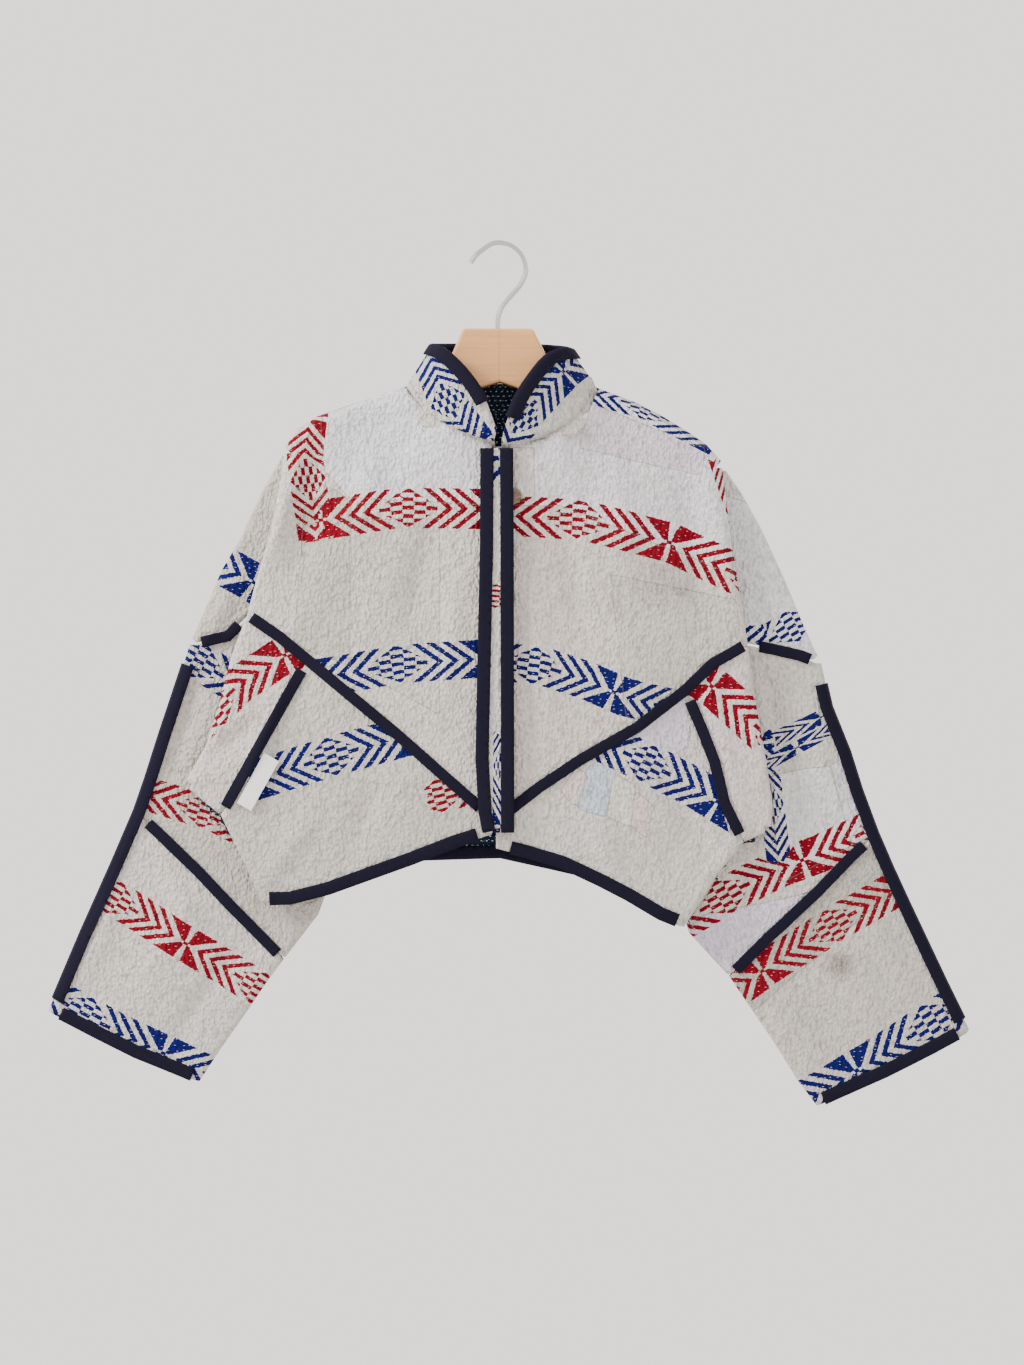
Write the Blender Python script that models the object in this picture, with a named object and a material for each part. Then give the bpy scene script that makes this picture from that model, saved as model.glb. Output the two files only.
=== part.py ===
# Cropped quilted patchwork jacket on a wooden coat hanger.
#
# Frame: metres, +Z up, the jacket's front faces -Y and its back +Y.
# The origin is the inner top of the hanger's hook, where it hangs.
# "right" and "left" are the wearer's, so right parts lie at -X.
# Tables below are in millimetres, as (x, z) points seen from the front.

import bpy
import math
from mathutils import Vector
from mathutils.geometry import delaunay_2d_cdt

MM = 0.001

# Cloth and its make-up, in millimetres.
CLOTH = 2.0
SEAM_GAP = 0.3
TAPE = 0.9
TAPE_LIFT = 2.3
SEAM_TAPE = 1.4
SEAM_TAPE_LIFT = 3.1
BINDING_WIDTH = 11.0
MESH_STEP = 34.0
EDGE_STEP = 28.0
WRAP_ROWS = 3
FOLD_ROWS = 5
END_PULL = 1.6
TUCK_PULL = 4.0

# Depth (y) of the layers, front to back.
PLEAT_TURN = -12.0
PLEAT_INSET = 6.0
SLEEVE_TUCK = -7.2

# Outlines of the right half, which hangs at -X.
RIGHT = {
    "ridge": [(-96, -143), (-155, -163), (-182, -173), (-201, -186), (-213, -203)],
    "fold_upper": [(-213, -203), (-217, -232), (-227, -287), (-243, -340), (-251, -370)],
    "fold_lower": [(-251, -370), (-266, -409), (-279, -459), (-291, -498), (-314, -539)],
    "under": [(-314, -539), (-277, -569)],
    "side": [(-277, -569), (-253, -618), (-237, -657)],
    "hem": [(-237, -657), (-208, -656), (-169, -646), (-86, -616), (-45, -600), (-8, -588)],
    "diagonal": [(-251, -370), (-219, -392), (-191, -415), (-162, -439), (-103, -488), (-8, -572)],
    "armhole": [(-191, -415), (-277, -569)],
    "neck": [(-8, -201), (-28, -195), (-54, -183), (-69, -174), (-83, -159), (-96, -143)],
    "outer_upper": [(-213, -203), (-238, -247), (-260, -295), (-278, -325), (-310, -400)],
    "outer_middle": [(-310, -400), (-340, -490), (-354, -534), (-365, -566)],
    "outer_cuff": [(-365, -566), (-386, -615), (-419, -689), (-452, -767)],
    "sleeve_seam": [(-251, -370), (-272, -391), (-310, -400)],
    "inner_middle": [(-314, -539), (-240, -566), (-192, -602), (-172, -640), (-183, -670), (-217, -714)],
    "inner_cuff": [(-217, -714), (-232, -734), (-260, -775), (-281, -805), (-302, -837)],
    "cuff_seam": [(-217, -714), (-268, -662), (-302, -626), (-335, -594), (-365, -566)],
    "cuff_hem": [(-302, -837), (-365, -811), (-407, -790), (-452, -767)],
}

# Outlines of the left half, which hangs at +X.
LEFT = {
    "ridge": [(98, -144), (134, -158), (161, -172), (188, -189), (205, -201), (220, -218)],
    "fold_upper": [(220, -218), (225, -260), (230, -296), (238, -348), (246, -399)],
    "fold_lower": [(246, -399), (254, -456), (264, -514), (271, -560), (269, -584)],
    "under": [(269, -584), (242, -596)],
    "side": [(242, -596), (216, -628), (201, -652), (182, -681)],
    "hem": [(182, -681), (158, -671), (126, -652), (97, -637), (61, -620), (24, -609), (-4, -602)],
    "diagonal": [(246, -399), (211, -419), (184, -445), (136, -482), (80, -514), (38, -542), (-4, -575)],
    "armhole": [(184, -445), (201, -485), (213, -516), (223, -557), (242, -596)],
    "neck": [(-4, -204), (18, -202), (45, -196), (71, -183), (89, -167), (98, -144)],
    "outer_upper": [(220, -218), (241, -248), (262, -286), (282, -329), (304, -382), (321, -419)],
    "outer_middle": [(321, -419), (331, -462), (349, -507), (361, -545), (377, -588)],
    "outer_cuff": [(377, -588), (393, -625), (410, -662), (446, -738), (470, -787)],
    "sleeve_seam": [(246, -399), (272, -404), (302, -411), (321, -419)],
    "inner_middle": [(269, -584), (232, -603), (196, -628), (181, -655), (190, -688), (230, -731)],
    "inner_cuff": [(230, -731), (242, -749), (272, -793), (299, -836), (318, -861)],
    "cuff_seam": [(230, -731), (272, -689), (318, -646), (352, -611), (377, -588)],
    "cuff_hem": [(318, -861), (387, -830), (433, -807), (470, -787)],
}

BACK_NECK = [(-96, -143), (-60, -139), (0, -137), (60, -140), (98, -144)]
BACK_HEM = [(-237, -657), (-170, -642), (-100, -614), (0, -611), (100, -633), (182, -681)]

# Body depths: outline place, front edge, turn, back edge.
BODY_DEPTHS = {
    "ridge": [(-14, 0, 14), (-15, -1, 13), (-18, -5, 9), (-19, -8, 5), (-18, -12, -12.5)],
    "fold_upper": [(-18, -12, -13), (-18, -12, -14), (-18, -12, -14), (-18, -12, -14)],
    "fold_lower": [(-18, -12, -14), (-18, -12, -14), (-18, -12, -14), (-18, -12, -14)],
    "under": [(-18, -14, -10), (-18, -14, -10)],
    "side": [(-18, -14, -10), (-18, -14, -10), (-18, -14, -10)],
}

# Inner body depths: x, z, front, back.
BODY_MIDDLE = [
    (-95, -300, -27, 15), (0, -290, -29, 16), (95, -300, -27, 15),
    (-130, -420, -26, 6), (0, -430, -27, 8), (130, -430, -26, 6),
    (-120, -560, -25, -2), (0, -560, -26, 0), (120, -580, -25, -2),
    (-50, -200, -31, 22), (50, -205, -31, 22), (-80, -165, -22, 20), (80, -165, -22, 20),
    (-190, -640, -22, -7), (150, -660, -22, -7), (0, -600, -25, -1),
]

# Largest folds: start x and z, end x and z, half width, height toward the viewer.
FOLDS = [
    (-120, -230, -215, -420, 16, 3.0),
    (-60, -300, -120, -470, 20, -2.5),
    (-150, -480, -60, -590, 16, 2.5),
    (120, -220, 190, -420, 18, 3.0),
    (70, -300, 110, -480, 20, -2.5),
    (150, -500, 60, -580, 16, 2.5),
    (-290, -440, -330, -540, 12, 2.0),
    (-300, -640, -370, -760, 16, 2.5),
    (290, -440, 320, -560, 12, 2.0),
    (330, -690, 380, -800, 16, 2.5),
]


def clear_scene():
    for item in list(bpy.data.objects):
        bpy.data.objects.remove(item, do_unlink=True)


def resample(points, step=EDGE_STEP):
    """Points along the line, corners kept, no farther apart than the step."""
    result = [tuple(map(float, points[0]))]
    for start, end in zip(points, points[1:]):
        count = max(1, math.ceil(math.dist(start, end) / step))
        for index in range(1, count + 1):
            part = index / count
            result.append(tuple(a + (b - a) * part for a, b in zip(start, end)))
    return result


def along(table, part):
    """The table's row at a part of its length, with rows evenly spread."""
    place = part * (len(table) - 1)
    index = min(int(place), len(table) - 2)
    rest = place - index
    return [a + (b - a) * rest for a, b in zip(table[index], table[index + 1])]


def body_samples():
    """Known depths of the body: x, z, front, back."""
    samples = list(BODY_MIDDLE)
    for half in (RIGHT, LEFT):
        for name, depths in BODY_DEPTHS.items():
            line = resample(half[name], 18)
            for index, (x, z) in enumerate(line):
                front, turn, back = along(depths, index / (len(line) - 1))
                samples.append((x, z, front, back))
    return samples


# Front and back depth of a sleeve, at the body's fold and then further out.
SLEEVE_AT_FOLD = (0.6, 5.0)
SLEEVE_AT_SHOULDER = (0.8, 9.5)
SLEEVE_AT_EDGES = (2.5, 12.5)
SLEEVE_AT_MIDDLE = (0.5, 18.0)
SLEEVE_SAMPLE_STEP = 18
# From a sleeve's outer edge to its middle, across and down.
SLEEVE_MIDDLE_IN = 75
SLEEVE_MIDDLE_DOWN = 35


def sleeve_samples(half):
    """Known depths of a sleeve: x, z, front, back."""
    samples = []
    for name in ("fold_upper", "fold_lower"):
        for x, z in resample(half[name], SLEEVE_SAMPLE_STEP):
            samples.append((x, z, *SLEEVE_AT_FOLD))
    for x, z in resample(half["outer_upper"], SLEEVE_SAMPLE_STEP)[2:]:
        samples.append((x, z, *SLEEVE_AT_SHOULDER))
    for name in ("outer_middle", "outer_cuff", "inner_middle", "inner_cuff"):
        for x, z in resample(half[name], SLEEVE_SAMPLE_STEP)[1:]:
            samples.append((x, z, *SLEEVE_AT_EDGES))
    for name in ("outer_middle", "outer_cuff"):
        for x, z in half[name][1:]:
            inward = SLEEVE_MIDDLE_IN if x < 0 else -SLEEVE_MIDDLE_IN
            samples.append((x + inward, z - SLEEVE_MIDDLE_DOWN, *SLEEVE_AT_MIDDLE))
    return samples


# Added to squared distances, so that a sample never takes over.
BLEND_CORE = 9.0


def blend(samples, column, x, z):
    """Depth at a place, as a smooth blend of the known ones."""
    total = 0.0
    weights = 0.0
    for row in samples:
        gap = (row[0] - x) ** 2 + (row[1] - z) ** 2 + BLEND_CORE
        weight = 1.0 / (gap * gap)
        total += weight * row[column]
        weights += weight
    return total / weights


def fold_height(x, z):
    """How far the large folds lift the cloth at a place."""
    height = 0.0
    for x0, z0, x1, z1, width, rise in FOLDS:
        dx = x1 - x0
        dz = z1 - z0
        part = ((x - x0) * dx + (z - z0) * dz) / (dx * dx + dz * dz)
        part = min(1.0, max(0.0, part))
        gap = math.hypot(x - x0 - part * dx, z - z0 - part * dz)
        height += rise * math.sin(math.pi * part) * math.exp(-(gap / width) ** 2)
    return height


SAMPLES = {
    "body": body_samples(),
    "right": sleeve_samples(RIGHT),
    "left": sleeve_samples(LEFT),
}


def depth(layer, side, x, z):
    """Middle of the cloth, for a layer (body, right or left) and its side."""
    column = 2 if side == "front" else 3
    lift = fold_height(x, z) if side == "front" else 0.0
    return blend(SAMPLES[layer], column, x, z) - lift


class Sheet:
    """The middle surface of a piece of cloth, as points and faces."""

    def __init__(self):
        self.points = []
        self.faces = []
        self.level = set()
        self.out = 1

    def add(self, x, y, z):
        self.points.append((x, y, z))
        return len(self.points) - 1

    def grid(self, rows):
        """Rows of equal length, joined by quads."""
        ids = [[self.add(*point) for point in row] for row in rows]
        self.join_rows(ids)
        return ids

    def join_rows(self, ids):
        for low, high in zip(ids, ids[1:]):
            for index in range(len(low) - 1):
                self.faces.append((low[index], low[index + 1], high[index + 1], high[index]))

    def region(self, chains, height):
        """A flat outline filled with points, lifted by the height function."""
        lines = inset_outline(chains)
        loop = []
        places = []
        for line in lines:
            places.append(list(range(len(loop), len(loop) + len(line))))
            loop.extend(line[:-1])
        total = len(loop)
        inner = lattice(loop)
        coords = [Vector(point) for point in loop + inner]
        edges = [(index, (index + 1) % total) for index in range(total)]
        result = delaunay_2d_cdt(coords, edges, [list(range(total))], 1, 0.0001)
        lookup = {}
        new_ids = []
        for index, point in enumerate(result[0]):
            new_ids.append(self.add(point.x, height(point.x, point.y), point.y))
            for source in result[3][index]:
                lookup[source] = new_ids[-1]
        for face in result[2]:
            self.faces.append(tuple(new_ids[index] for index in face))
        self.out = -turning(loop)
        return [[lookup[index % total] for index in place] for place in places]

    def flat(self, index):
        x, y, z = self.points[index]
        return x, z

    def wrap(self, chain, reach, turn, angle=90.0, rows=WRAP_ROWS, pull=END_PULL):
        """Carry an edge on round a turn; turn gives its depth at a quarter round."""
        normals = line_normals([self.flat(index) for index in chain])
        ids = [chain]
        for row in range(1, rows + 1):
            bend = math.radians(angle * row / rows)
            line = []
            drawn = pull * min(1.0, 1.5 * row / rows)
            pulls = end_pulls([self.flat(index) for index in chain], drawn)
            for place, index in enumerate(chain):
                x, y, z = self.points[index]
                x += pulls[place][0]
                z += pulls[place][1]
                out = reach * math.sin(bend) * self.out
                middle = turn[place] if isinstance(turn, list) else turn
                line.append(self.add(
                    x + normals[place][0] * out,
                    y + (middle - y) * (1 - math.cos(bend)),
                    z + normals[place][1] * out,
                ))
            ids.append(line)
        self.join_rows(ids)
        if angle == 90.0:
            self.level.update(ids[-1])
        return ids[-1]

    def roll(self, front, back, reach, rows=FOLD_ROWS):
        """Join a front edge to the back edge behind it, round a half turn."""
        normals = line_normals([self.flat(index) for index in front])
        ids = [front]
        for row in range(1, rows):
            bend = math.pi * row / rows
            line = []
            pulls = end_pulls([self.flat(index) for index in front], END_PULL * math.sin(bend))
            for place, (first, last) in enumerate(zip(front, back)):
                x, y, z = self.points[first]
                x += pulls[place][0]
                z += pulls[place][1]
                end = self.points[last][1]
                out = reach * math.sin(bend) * self.out
                line.append(self.add(
                    x + normals[place][0] * out,
                    y + (end - y) * (1 - math.cos(bend)) / 2,
                    z + normals[place][1] * out,
                ))
            ids.append(line)
        ids.append(back)
        self.join_rows(ids)


def end_pulls(line, length):
    """How far a turned edge's two ends draw back from the next piece."""
    pulls = [(0.0, 0.0)] * len(line)
    for end, after in ((0, 1), (-1, -2)):
        size = math.dist(line[end], line[after])
        pulls[end] = tuple(
            length * (b - a) / size for a, b in zip(line[end], line[after])
        )
    return pulls


def line_normals(line):
    """Normals to the left of a line, at each of its points."""
    normals = []
    for index in range(len(line)):
        before = line[max(0, index - 1)]
        after = line[min(len(line) - 1, index + 1)]
        dx = after[0] - before[0]
        dz = after[1] - before[1]
        size = math.hypot(dx, dz) or 1.0
        normals.append((-dz / size, dx / size))
    return normals


def shifted(line, distance):
    """The line moved to its left."""
    return [
        (x + nx * distance, z + nz * distance)
        for (x, z), (nx, nz) in zip(line, line_normals(line))
    ]


def crossing(a, b, c, d):
    """Where the line through a and b meets the line through c and d."""
    ux, uz = b[0] - a[0], b[1] - a[1]
    vx, vz = d[0] - c[0], d[1] - c[1]
    base = ux * vz - uz * vx
    if abs(base) < 0.12 * math.hypot(ux, uz) * math.hypot(vx, vz):
        return ((b[0] + c[0]) / 2, (b[1] + c[1]) / 2)
    part = ((c[0] - a[0]) * vz - (c[1] - a[1]) * vx) / base
    return (a[0] + ux * part, a[1] + uz * part)


def turning(loop):
    """1 for a loop with its inside on the left, else -1."""
    area = sum(a[0] * b[1] - b[0] * a[1] for a, b in zip(loop, loop[1:] + loop[:1]))
    return 1 if area > 0 else -1


def inset_outline(chains):
    """Each chain moved in by its inset, with the corners met again."""
    loop = [point for line, inset in chains for point in line[:-1]]
    inward = turning(loop)
    lines = [shifted(line, inset * inward) for line, inset in chains]
    for index, line in enumerate(lines):
        after = lines[(index + 1) % len(lines)]
        corner = crossing(line[-2], line[-1], after[0], after[1])
        line[-1] = corner
        after[0] = corner
    return lines


def inside(point, loop):
    hit = False
    for a, b in zip(loop, loop[1:] + loop[:1]):
        if (a[1] > point[1]) != (b[1] > point[1]):
            cut = a[0] + (b[0] - a[0]) * (point[1] - a[1]) / (b[1] - a[1])
            if cut > point[0]:
                hit = not hit
    return hit


def segment_gap(point, a, b):
    dx, dz = b[0] - a[0], b[1] - a[1]
    part = ((point[0] - a[0]) * dx + (point[1] - a[1]) * dz) / (dx * dx + dz * dz)
    part = min(1.0, max(0.0, part))
    return math.hypot(point[0] - a[0] - part * dx, point[1] - a[1] - part * dz)


def lattice(loop, step=MESH_STEP):
    """Points in staggered rows inside the outline, clear of its edge."""
    low_x = min(point[0] for point in loop)
    high_x = max(point[0] for point in loop)
    low_z = min(point[1] for point in loop)
    high_z = max(point[1] for point in loop)
    rise = step * 0.866
    result = []
    for row in range(1, int((high_z - low_z) / rise) + 1):
        z = low_z + row * rise
        start = low_x + (step / 2 if row % 2 else 0)
        for place in range(int((high_x - low_x) / step) + 1):
            point = (start + place * step, z)
            if not inside(point, loop):
                continue
            gap = min(segment_gap(point, a, b) for a, b in zip(loop, loop[1:] + loop[:1]))
            if gap > step * 0.5:
                result.append(point)
    return result


def material(name, colour, roughness, metallic=0.0):
    made = bpy.data.materials.new(name)
    made.use_nodes = True
    shader = made.node_tree.nodes["Principled BSDF"]
    shader.inputs["Base Color"].default_value = (*colour, 1.0)
    shader.inputs["Roughness"].default_value = roughness
    shader.inputs["Metallic"].default_value = metallic
    return made


def solid(name, sheet, thickness, finish):
    """Give a sheet its thickness and make it an object."""
    faces = consistent(sheet.faces)
    normals = [Vector((0, 0, 0)) for point in sheet.points]
    for face in faces:
        corners = [Vector(sheet.points[index]) for index in face]
        for place in range(1, len(face) - 1):
            area = (corners[place] - corners[0]).cross(corners[place + 1] - corners[0])
            for index in (face[0], face[place], face[place + 1]):
                normals[index] += area
    for index in sheet.level:
        normals[index].y = 0.0
    count = len(sheet.points)
    verts = []
    for sign in (0.5, -0.5):
        for point, normal in zip(sheet.points, normals):
            place = Vector(point) + normal.normalized() * thickness * sign
            verts.append(tuple(value * MM for value in place))
    walls = [tuple(face) for face in faces]
    walls += [tuple(index + count for index in reversed(face)) for face in faces]
    used = {}
    for face in faces:
        for a, b in zip(face, face[1:] + face[:1]):
            used[(a, b)] = True
    for a, b in used:
        if (b, a) not in used:
            walls.append((b, a, a + count, b + count))
    mesh = bpy.data.meshes.new(name)
    mesh.from_pydata(verts, [], walls)
    mesh.materials.append(finish)
    mesh.shade_smooth()
    mesh.set_sharp_from_angle(angle=math.radians(50))
    made = bpy.data.objects.new(name, mesh)
    bpy.context.collection.objects.link(made)
    if volume(verts, walls) < 0:
        mesh.flip_normals()
    return made


def consistent(faces):
    """The faces, turned so that neighbours run the same way round."""
    edges = {}
    for index, face in enumerate(faces):
        for a, b in zip(face, face[1:] + face[:1]):
            edges.setdefault(frozenset((a, b)), []).append(index)
    done = [None] * len(faces)
    done[0] = tuple(faces[0])
    todo = [0]
    while todo:
        index = todo.pop()
        face = done[index]
        for a, b in zip(face, face[1:] + face[:1]):
            for other in edges[frozenset((a, b))]:
                if done[other] is not None:
                    continue
                ring = tuple(faces[other])
                pairs = list(zip(ring, ring[1:] + ring[:1]))
                done[other] = ring[::-1] if (a, b) in pairs else ring
                todo.append(other)
    return [tuple(face) for face in done if face is not None]


def volume(verts, faces):
    total = 0.0
    for face in faces:
        a = Vector(verts[face[0]])
        for place in range(1, len(face) - 1):
            total += a.dot(Vector(verts[face[place]]).cross(Vector(verts[face[place + 1]])))
    return total


HALF_GAP = SEAM_GAP / 2
RIM_GAP = 0.9
TAPED_GAP = 1.2
RIM_INSET = 8.0
SIDE_INSET = 5.0
BACK_FOLD_INSET = 7.0
PLACKET_LIFT = 8.0


def back_to_front(line):
    return list(reversed(line))


def chain_of(half, name):
    return resample(half[name])


def turns_along(name, count):
    """Depth of the edge's turn at each point of a body edge."""
    return [along(BODY_DEPTHS[name], index / (count - 1))[1] for index in range(count)]


def body_height(side):
    return lambda x, z: depth("body", side, x, z)


def sleeve_height(layer, side):
    return lambda x, z: depth(layer, side, x, z)


def front_yoke(name, half, finish):
    sheet = Sheet()
    corner = half["diagonal"][-1]
    top = half["neck"][0]
    places = sheet.region([
        (chain_of(half, "ridge"), RIM_INSET),
        (chain_of(half, "fold_upper"), PLEAT_INSET),
        (chain_of(half, "diagonal"), HALF_GAP),
        (resample([corner, top]), HALF_GAP),
        (chain_of(half, "neck"), HALF_GAP),
    ], body_height("front"))
    turns = turns_along("ridge", len(places[0]))
    sheet.wrap(places[0], RIM_INSET, [turn - RIM_GAP for turn in turns])
    sheet.wrap(places[1], PLEAT_INSET, PLEAT_TURN, 180.0, FOLD_ROWS)
    return solid(name, sheet, CLOTH, finish)


def side_panel(name, half, finish):
    """The underarm panel that shows on the body's front."""
    sheet = Sheet()
    places = sheet.region([
        (chain_of(half, "fold_lower"), PLEAT_INSET),
        (chain_of(half, "under"), SIDE_INSET),
        (back_to_front(chain_of(half, "armhole")), SEAM_GAP),
        (back_to_front(resample(half["diagonal"][:3])), HALF_GAP),
    ], body_height("front"))
    sheet.wrap(places[0], PLEAT_INSET, PLEAT_TURN, 180.0, FOLD_ROWS)
    turns = turns_along("under", len(places[1]))
    sheet.wrap(places[1], SIDE_INSET, [turn - HALF_GAP for turn in turns])
    return solid(name, sheet, CLOTH, finish)


def lower_front(name, half, finish):
    sheet = Sheet()
    places = sheet.region([
        (resample(half["diagonal"][2:]), HALF_GAP),
        (resample([half["diagonal"][-1], half["hem"][-1]]), HALF_GAP),
        (back_to_front(chain_of(half, "hem")), 0.0),
        (back_to_front(chain_of(half, "side")), SIDE_INSET),
        (back_to_front(chain_of(half, "armhole")), HALF_GAP),
    ], body_height("front"))
    turns = turns_along("side", len(places[3]))[::-1]
    sheet.wrap(places[3], SIDE_INSET, [turn - HALF_GAP for turn in turns])
    return solid(name, sheet, CLOTH, finish)


def back_panel(finish):
    sheet = Sheet()
    around = [(resample(BACK_NECK), HALF_GAP)]
    names = ["ridge", "fold_upper", "fold_lower", "under", "side"]
    insets = [RIM_INSET, BACK_FOLD_INSET, BACK_FOLD_INSET, SIDE_INSET, SIDE_INSET]
    for name, inset in zip(names, insets):
        around.append((chain_of(LEFT, name), inset))
    around.append((back_to_front(resample(BACK_HEM)), 0.0))
    for name, inset in zip(names[::-1], insets[::-1]):
        around.append((back_to_front(chain_of(RIGHT, name)), inset))
    places = sheet.region(around, body_height("back"))
    for index, name in ((1, "ridge"), (4, "under"), (5, "side")):
        turns = turns_along(name, len(places[index]))
        sheet.wrap(places[index], insets[index - 1], [turn + RIM_GAP for turn in turns])
    for index, name in ((7, "side"), (8, "under"), (11, "ridge")):
        turns = turns_along(name, len(places[index]))[::-1]
        sheet.wrap(places[index], insets[11 - index], [turn + RIM_GAP for turn in turns])
    return solid("back", sheet, CLOTH, finish)


def tuck(sheet, chain, reach, end):
    """Carry a sleeve's edge forward under the body's fold."""
    turns = [(sheet.points[index][1] + end) / 2 for index in chain]
    sheet.wrap(chain, reach, turns, 180.0, FOLD_ROWS, TUCK_PULL)


FRONT_TUCK_REACH = 3.0
FRONT_TUCK_END = -6.0
BACK_TUCK_REACH = 7.0
BACK_TUCK_END = -9.4
APEX_CUT = 9.0


def cut_above(line, level):
    """A falling line, cut off above a level."""
    (x0, z0), (x1, z1) = line[:2]
    return [(x0 + (x1 - x0) * (level - z0) / (z1 - z0), level)] + list(line[1:])


def sleeve_top(half):
    """The upper sleeve's outline, cut level just under the shoulder's point."""
    level = half["ridge"][-1][1] - APEX_CUT
    fold = cut_above(half["fold_upper"], level)
    outer = cut_above(half["outer_upper"], level)
    return [
        (resample(fold), SLEEVE_TUCK),
        (chain_of(half, "sleeve_seam"), TAPED_GAP),
        (back_to_front(resample(outer)), SIDE_INSET),
        ([outer[0], fold[0]], 0.0),
    ]


def upper_sleeve(name, layer, half, finish):
    sheet = Sheet()
    front = sheet.region(sleeve_top(half), sleeve_height(layer, "front"))
    back = sheet.region(sleeve_top(half), sleeve_height(layer, "back"))
    tuck(sheet, front[0], FRONT_TUCK_REACH, FRONT_TUCK_END)
    tuck(sheet, back[0], BACK_TUCK_REACH, BACK_TUCK_END)
    sheet.roll(front[2], back[2], SIDE_INSET)
    return solid(name, sheet, CLOTH, finish)


def close_outer(sheet, front, back):
    """Bring the two free outer edges round to meet."""
    turns = [
        (sheet.points[a][1] + sheet.points[b][1]) / 2 for a, b in zip(front, back)
    ]
    sheet.wrap(front, SIDE_INSET, [turn - HALF_GAP for turn in turns])
    sheet.wrap(back, SIDE_INSET, [turn + HALF_GAP for turn in turns])


def middle_sleeve(name, layer, half, finish):
    sheet = Sheet()
    around = [
        (back_to_front(chain_of(half, "sleeve_seam")), TAPED_GAP),
        (chain_of(half, "fold_lower"), SLEEVE_TUCK),
        (chain_of(half, "inner_middle"), SIDE_INSET),
        (chain_of(half, "cuff_seam"), HALF_GAP),
        (back_to_front(chain_of(half, "outer_middle")), SIDE_INSET),
    ]
    front = sheet.region(around, sleeve_height(layer, "front"))
    back = sheet.region(around, sleeve_height(layer, "back"))
    tuck(sheet, front[1], FRONT_TUCK_REACH, FRONT_TUCK_END)
    tuck(sheet, back[1], BACK_TUCK_REACH, BACK_TUCK_END)
    sheet.roll(front[2], back[2], SIDE_INSET)
    close_outer(sheet, front[4], back[4])
    return solid(name, sheet, CLOTH, finish)


def cuff(name, layer, half, finish):
    sheet = Sheet()
    around = [
        (back_to_front(chain_of(half, "cuff_seam")), HALF_GAP),
        (chain_of(half, "inner_cuff"), SIDE_INSET),
        (chain_of(half, "cuff_hem"), 0.0),
        (back_to_front(chain_of(half, "outer_cuff")), SIDE_INSET),
    ]
    front = sheet.region(around, sleeve_height(layer, "front"))
    back = sheet.region(around, sleeve_height(layer, "back"))
    sheet.roll(front[1], back[1], SIDE_INSET)
    close_outer(sheet, front[3], back[3])
    return solid(name, sheet, CLOTH, finish)


# How a tape's section runs round a free edge: in from the edge, across the cloth.
EDGE_SECTION = [
    (BINDING_WIDTH, -1.0), (0.5, -1.0), (-1.9, -0.6), (-1.9, 0.6), (0.5, 1.0), (BINDING_WIDTH, 1.0),
]
SEAM_SECTION = [(-5.5, -0.5), (-2.2, 0.0), (2.2, 0.0), (5.5, -0.5)]
END_TRIM = 8.0


def trimmed(line, start, end):
    """The line with a length cut off each end."""
    for cut in (start, end):
        line = line[::-1]
        while cut > 0 and len(line) > 2 and math.dist(line[-1], line[-2]) <= cut:
            cut -= math.dist(line[-1], line[-2])
            line = line[:-1]
        if cut > 0:
            size = math.dist(line[-1], line[-2])
            part = cut / size
            last = tuple(a + (b - a) * part for a, b in zip(line[-1], line[-2]))
            line = line[:-1] + [last]
    return line


def edge_rows(line, inward, height):
    """Section rows of a tape folded round a free edge."""
    rows = []
    for (x, z), (nx, nz) in zip(line, line_normals(line)):
        row = []
        for back_in, across in EDGE_SECTION:
            px = x + nx * back_in * inward
            pz = z + nz * back_in * inward
            row.append((px, height(px, pz) + across * TAPE_LIFT, pz))
        rows.append(row)
    return rows


def edge_tape(name, line, inward, height, finish):
    sheet = Sheet()
    sheet.grid(edge_rows(line, inward, height))
    return solid(name, sheet, TAPE, finish)


def seam_tape(name, line, height, outward, finish):
    """A raised strip lying over a seam; outward is -1 on a front."""
    sheet = Sheet()
    rows = []
    for (x, z), (nx, nz) in zip(line, line_normals(line)):
        row = []
        for across, drop in SEAM_SECTION:
            px = x + nx * across
            pz = z + nz * across
            row.append((px, height(px, pz) + (SEAM_TAPE_LIFT + drop) * outward, pz))
        rows.append(row)
    sheet.grid(rows)
    return solid(name, sheet, SEAM_TAPE, finish)


# Tape over a sleeve's outer edge: how far in its legs reach, and its clearance from the cloth.
OUTER_TAPE_LEG = 5.5
OUTER_TAPE_CLEAR = 0.6
OUTER_TAPE_DEEP_CLEAR = 0.5
OUTER_TAPE_BENDS = (-90, -45, 0, 45, 90)


def outer_tape(name, layer, line, inward, finish):
    """Tape folded over the sleeve's bound outer edge, front to back."""
    sheet = Sheet()
    rows = []
    base = shifted(line, SIDE_INSET * inward)
    for (x, z), (nx, nz) in zip(base, line_normals(line)):
        ex = -nx * inward
        ez = -nz * inward
        leg_x = x - ex * OUTER_TAPE_LEG
        leg_z = z - ez * OUTER_TAPE_LEG
        leg_lift = TAPE_LIFT + OUTER_TAPE_CLEAR
        front = depth(layer, "front", x, z)
        back = depth(layer, "back", x, z)
        middle = (front + back) / 2
        half_deep = (back - front) / 2 + TAPE_LIFT + OUTER_TAPE_DEEP_CLEAR
        row = [(leg_x, depth(layer, "front", leg_x, leg_z) - leg_lift, leg_z)]
        for degrees in OUTER_TAPE_BENDS:
            bend = math.radians(degrees)
            out = (SIDE_INSET + leg_lift) * math.cos(bend)
            row.append((x + ex * out, middle + half_deep * math.sin(bend), z + ez * out))
        row.append((leg_x, depth(layer, "back", leg_x, leg_z) + leg_lift, leg_z))
        rows.append(row)
    sheet.grid(rows)
    return solid(name, sheet, TAPE, finish)


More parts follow.
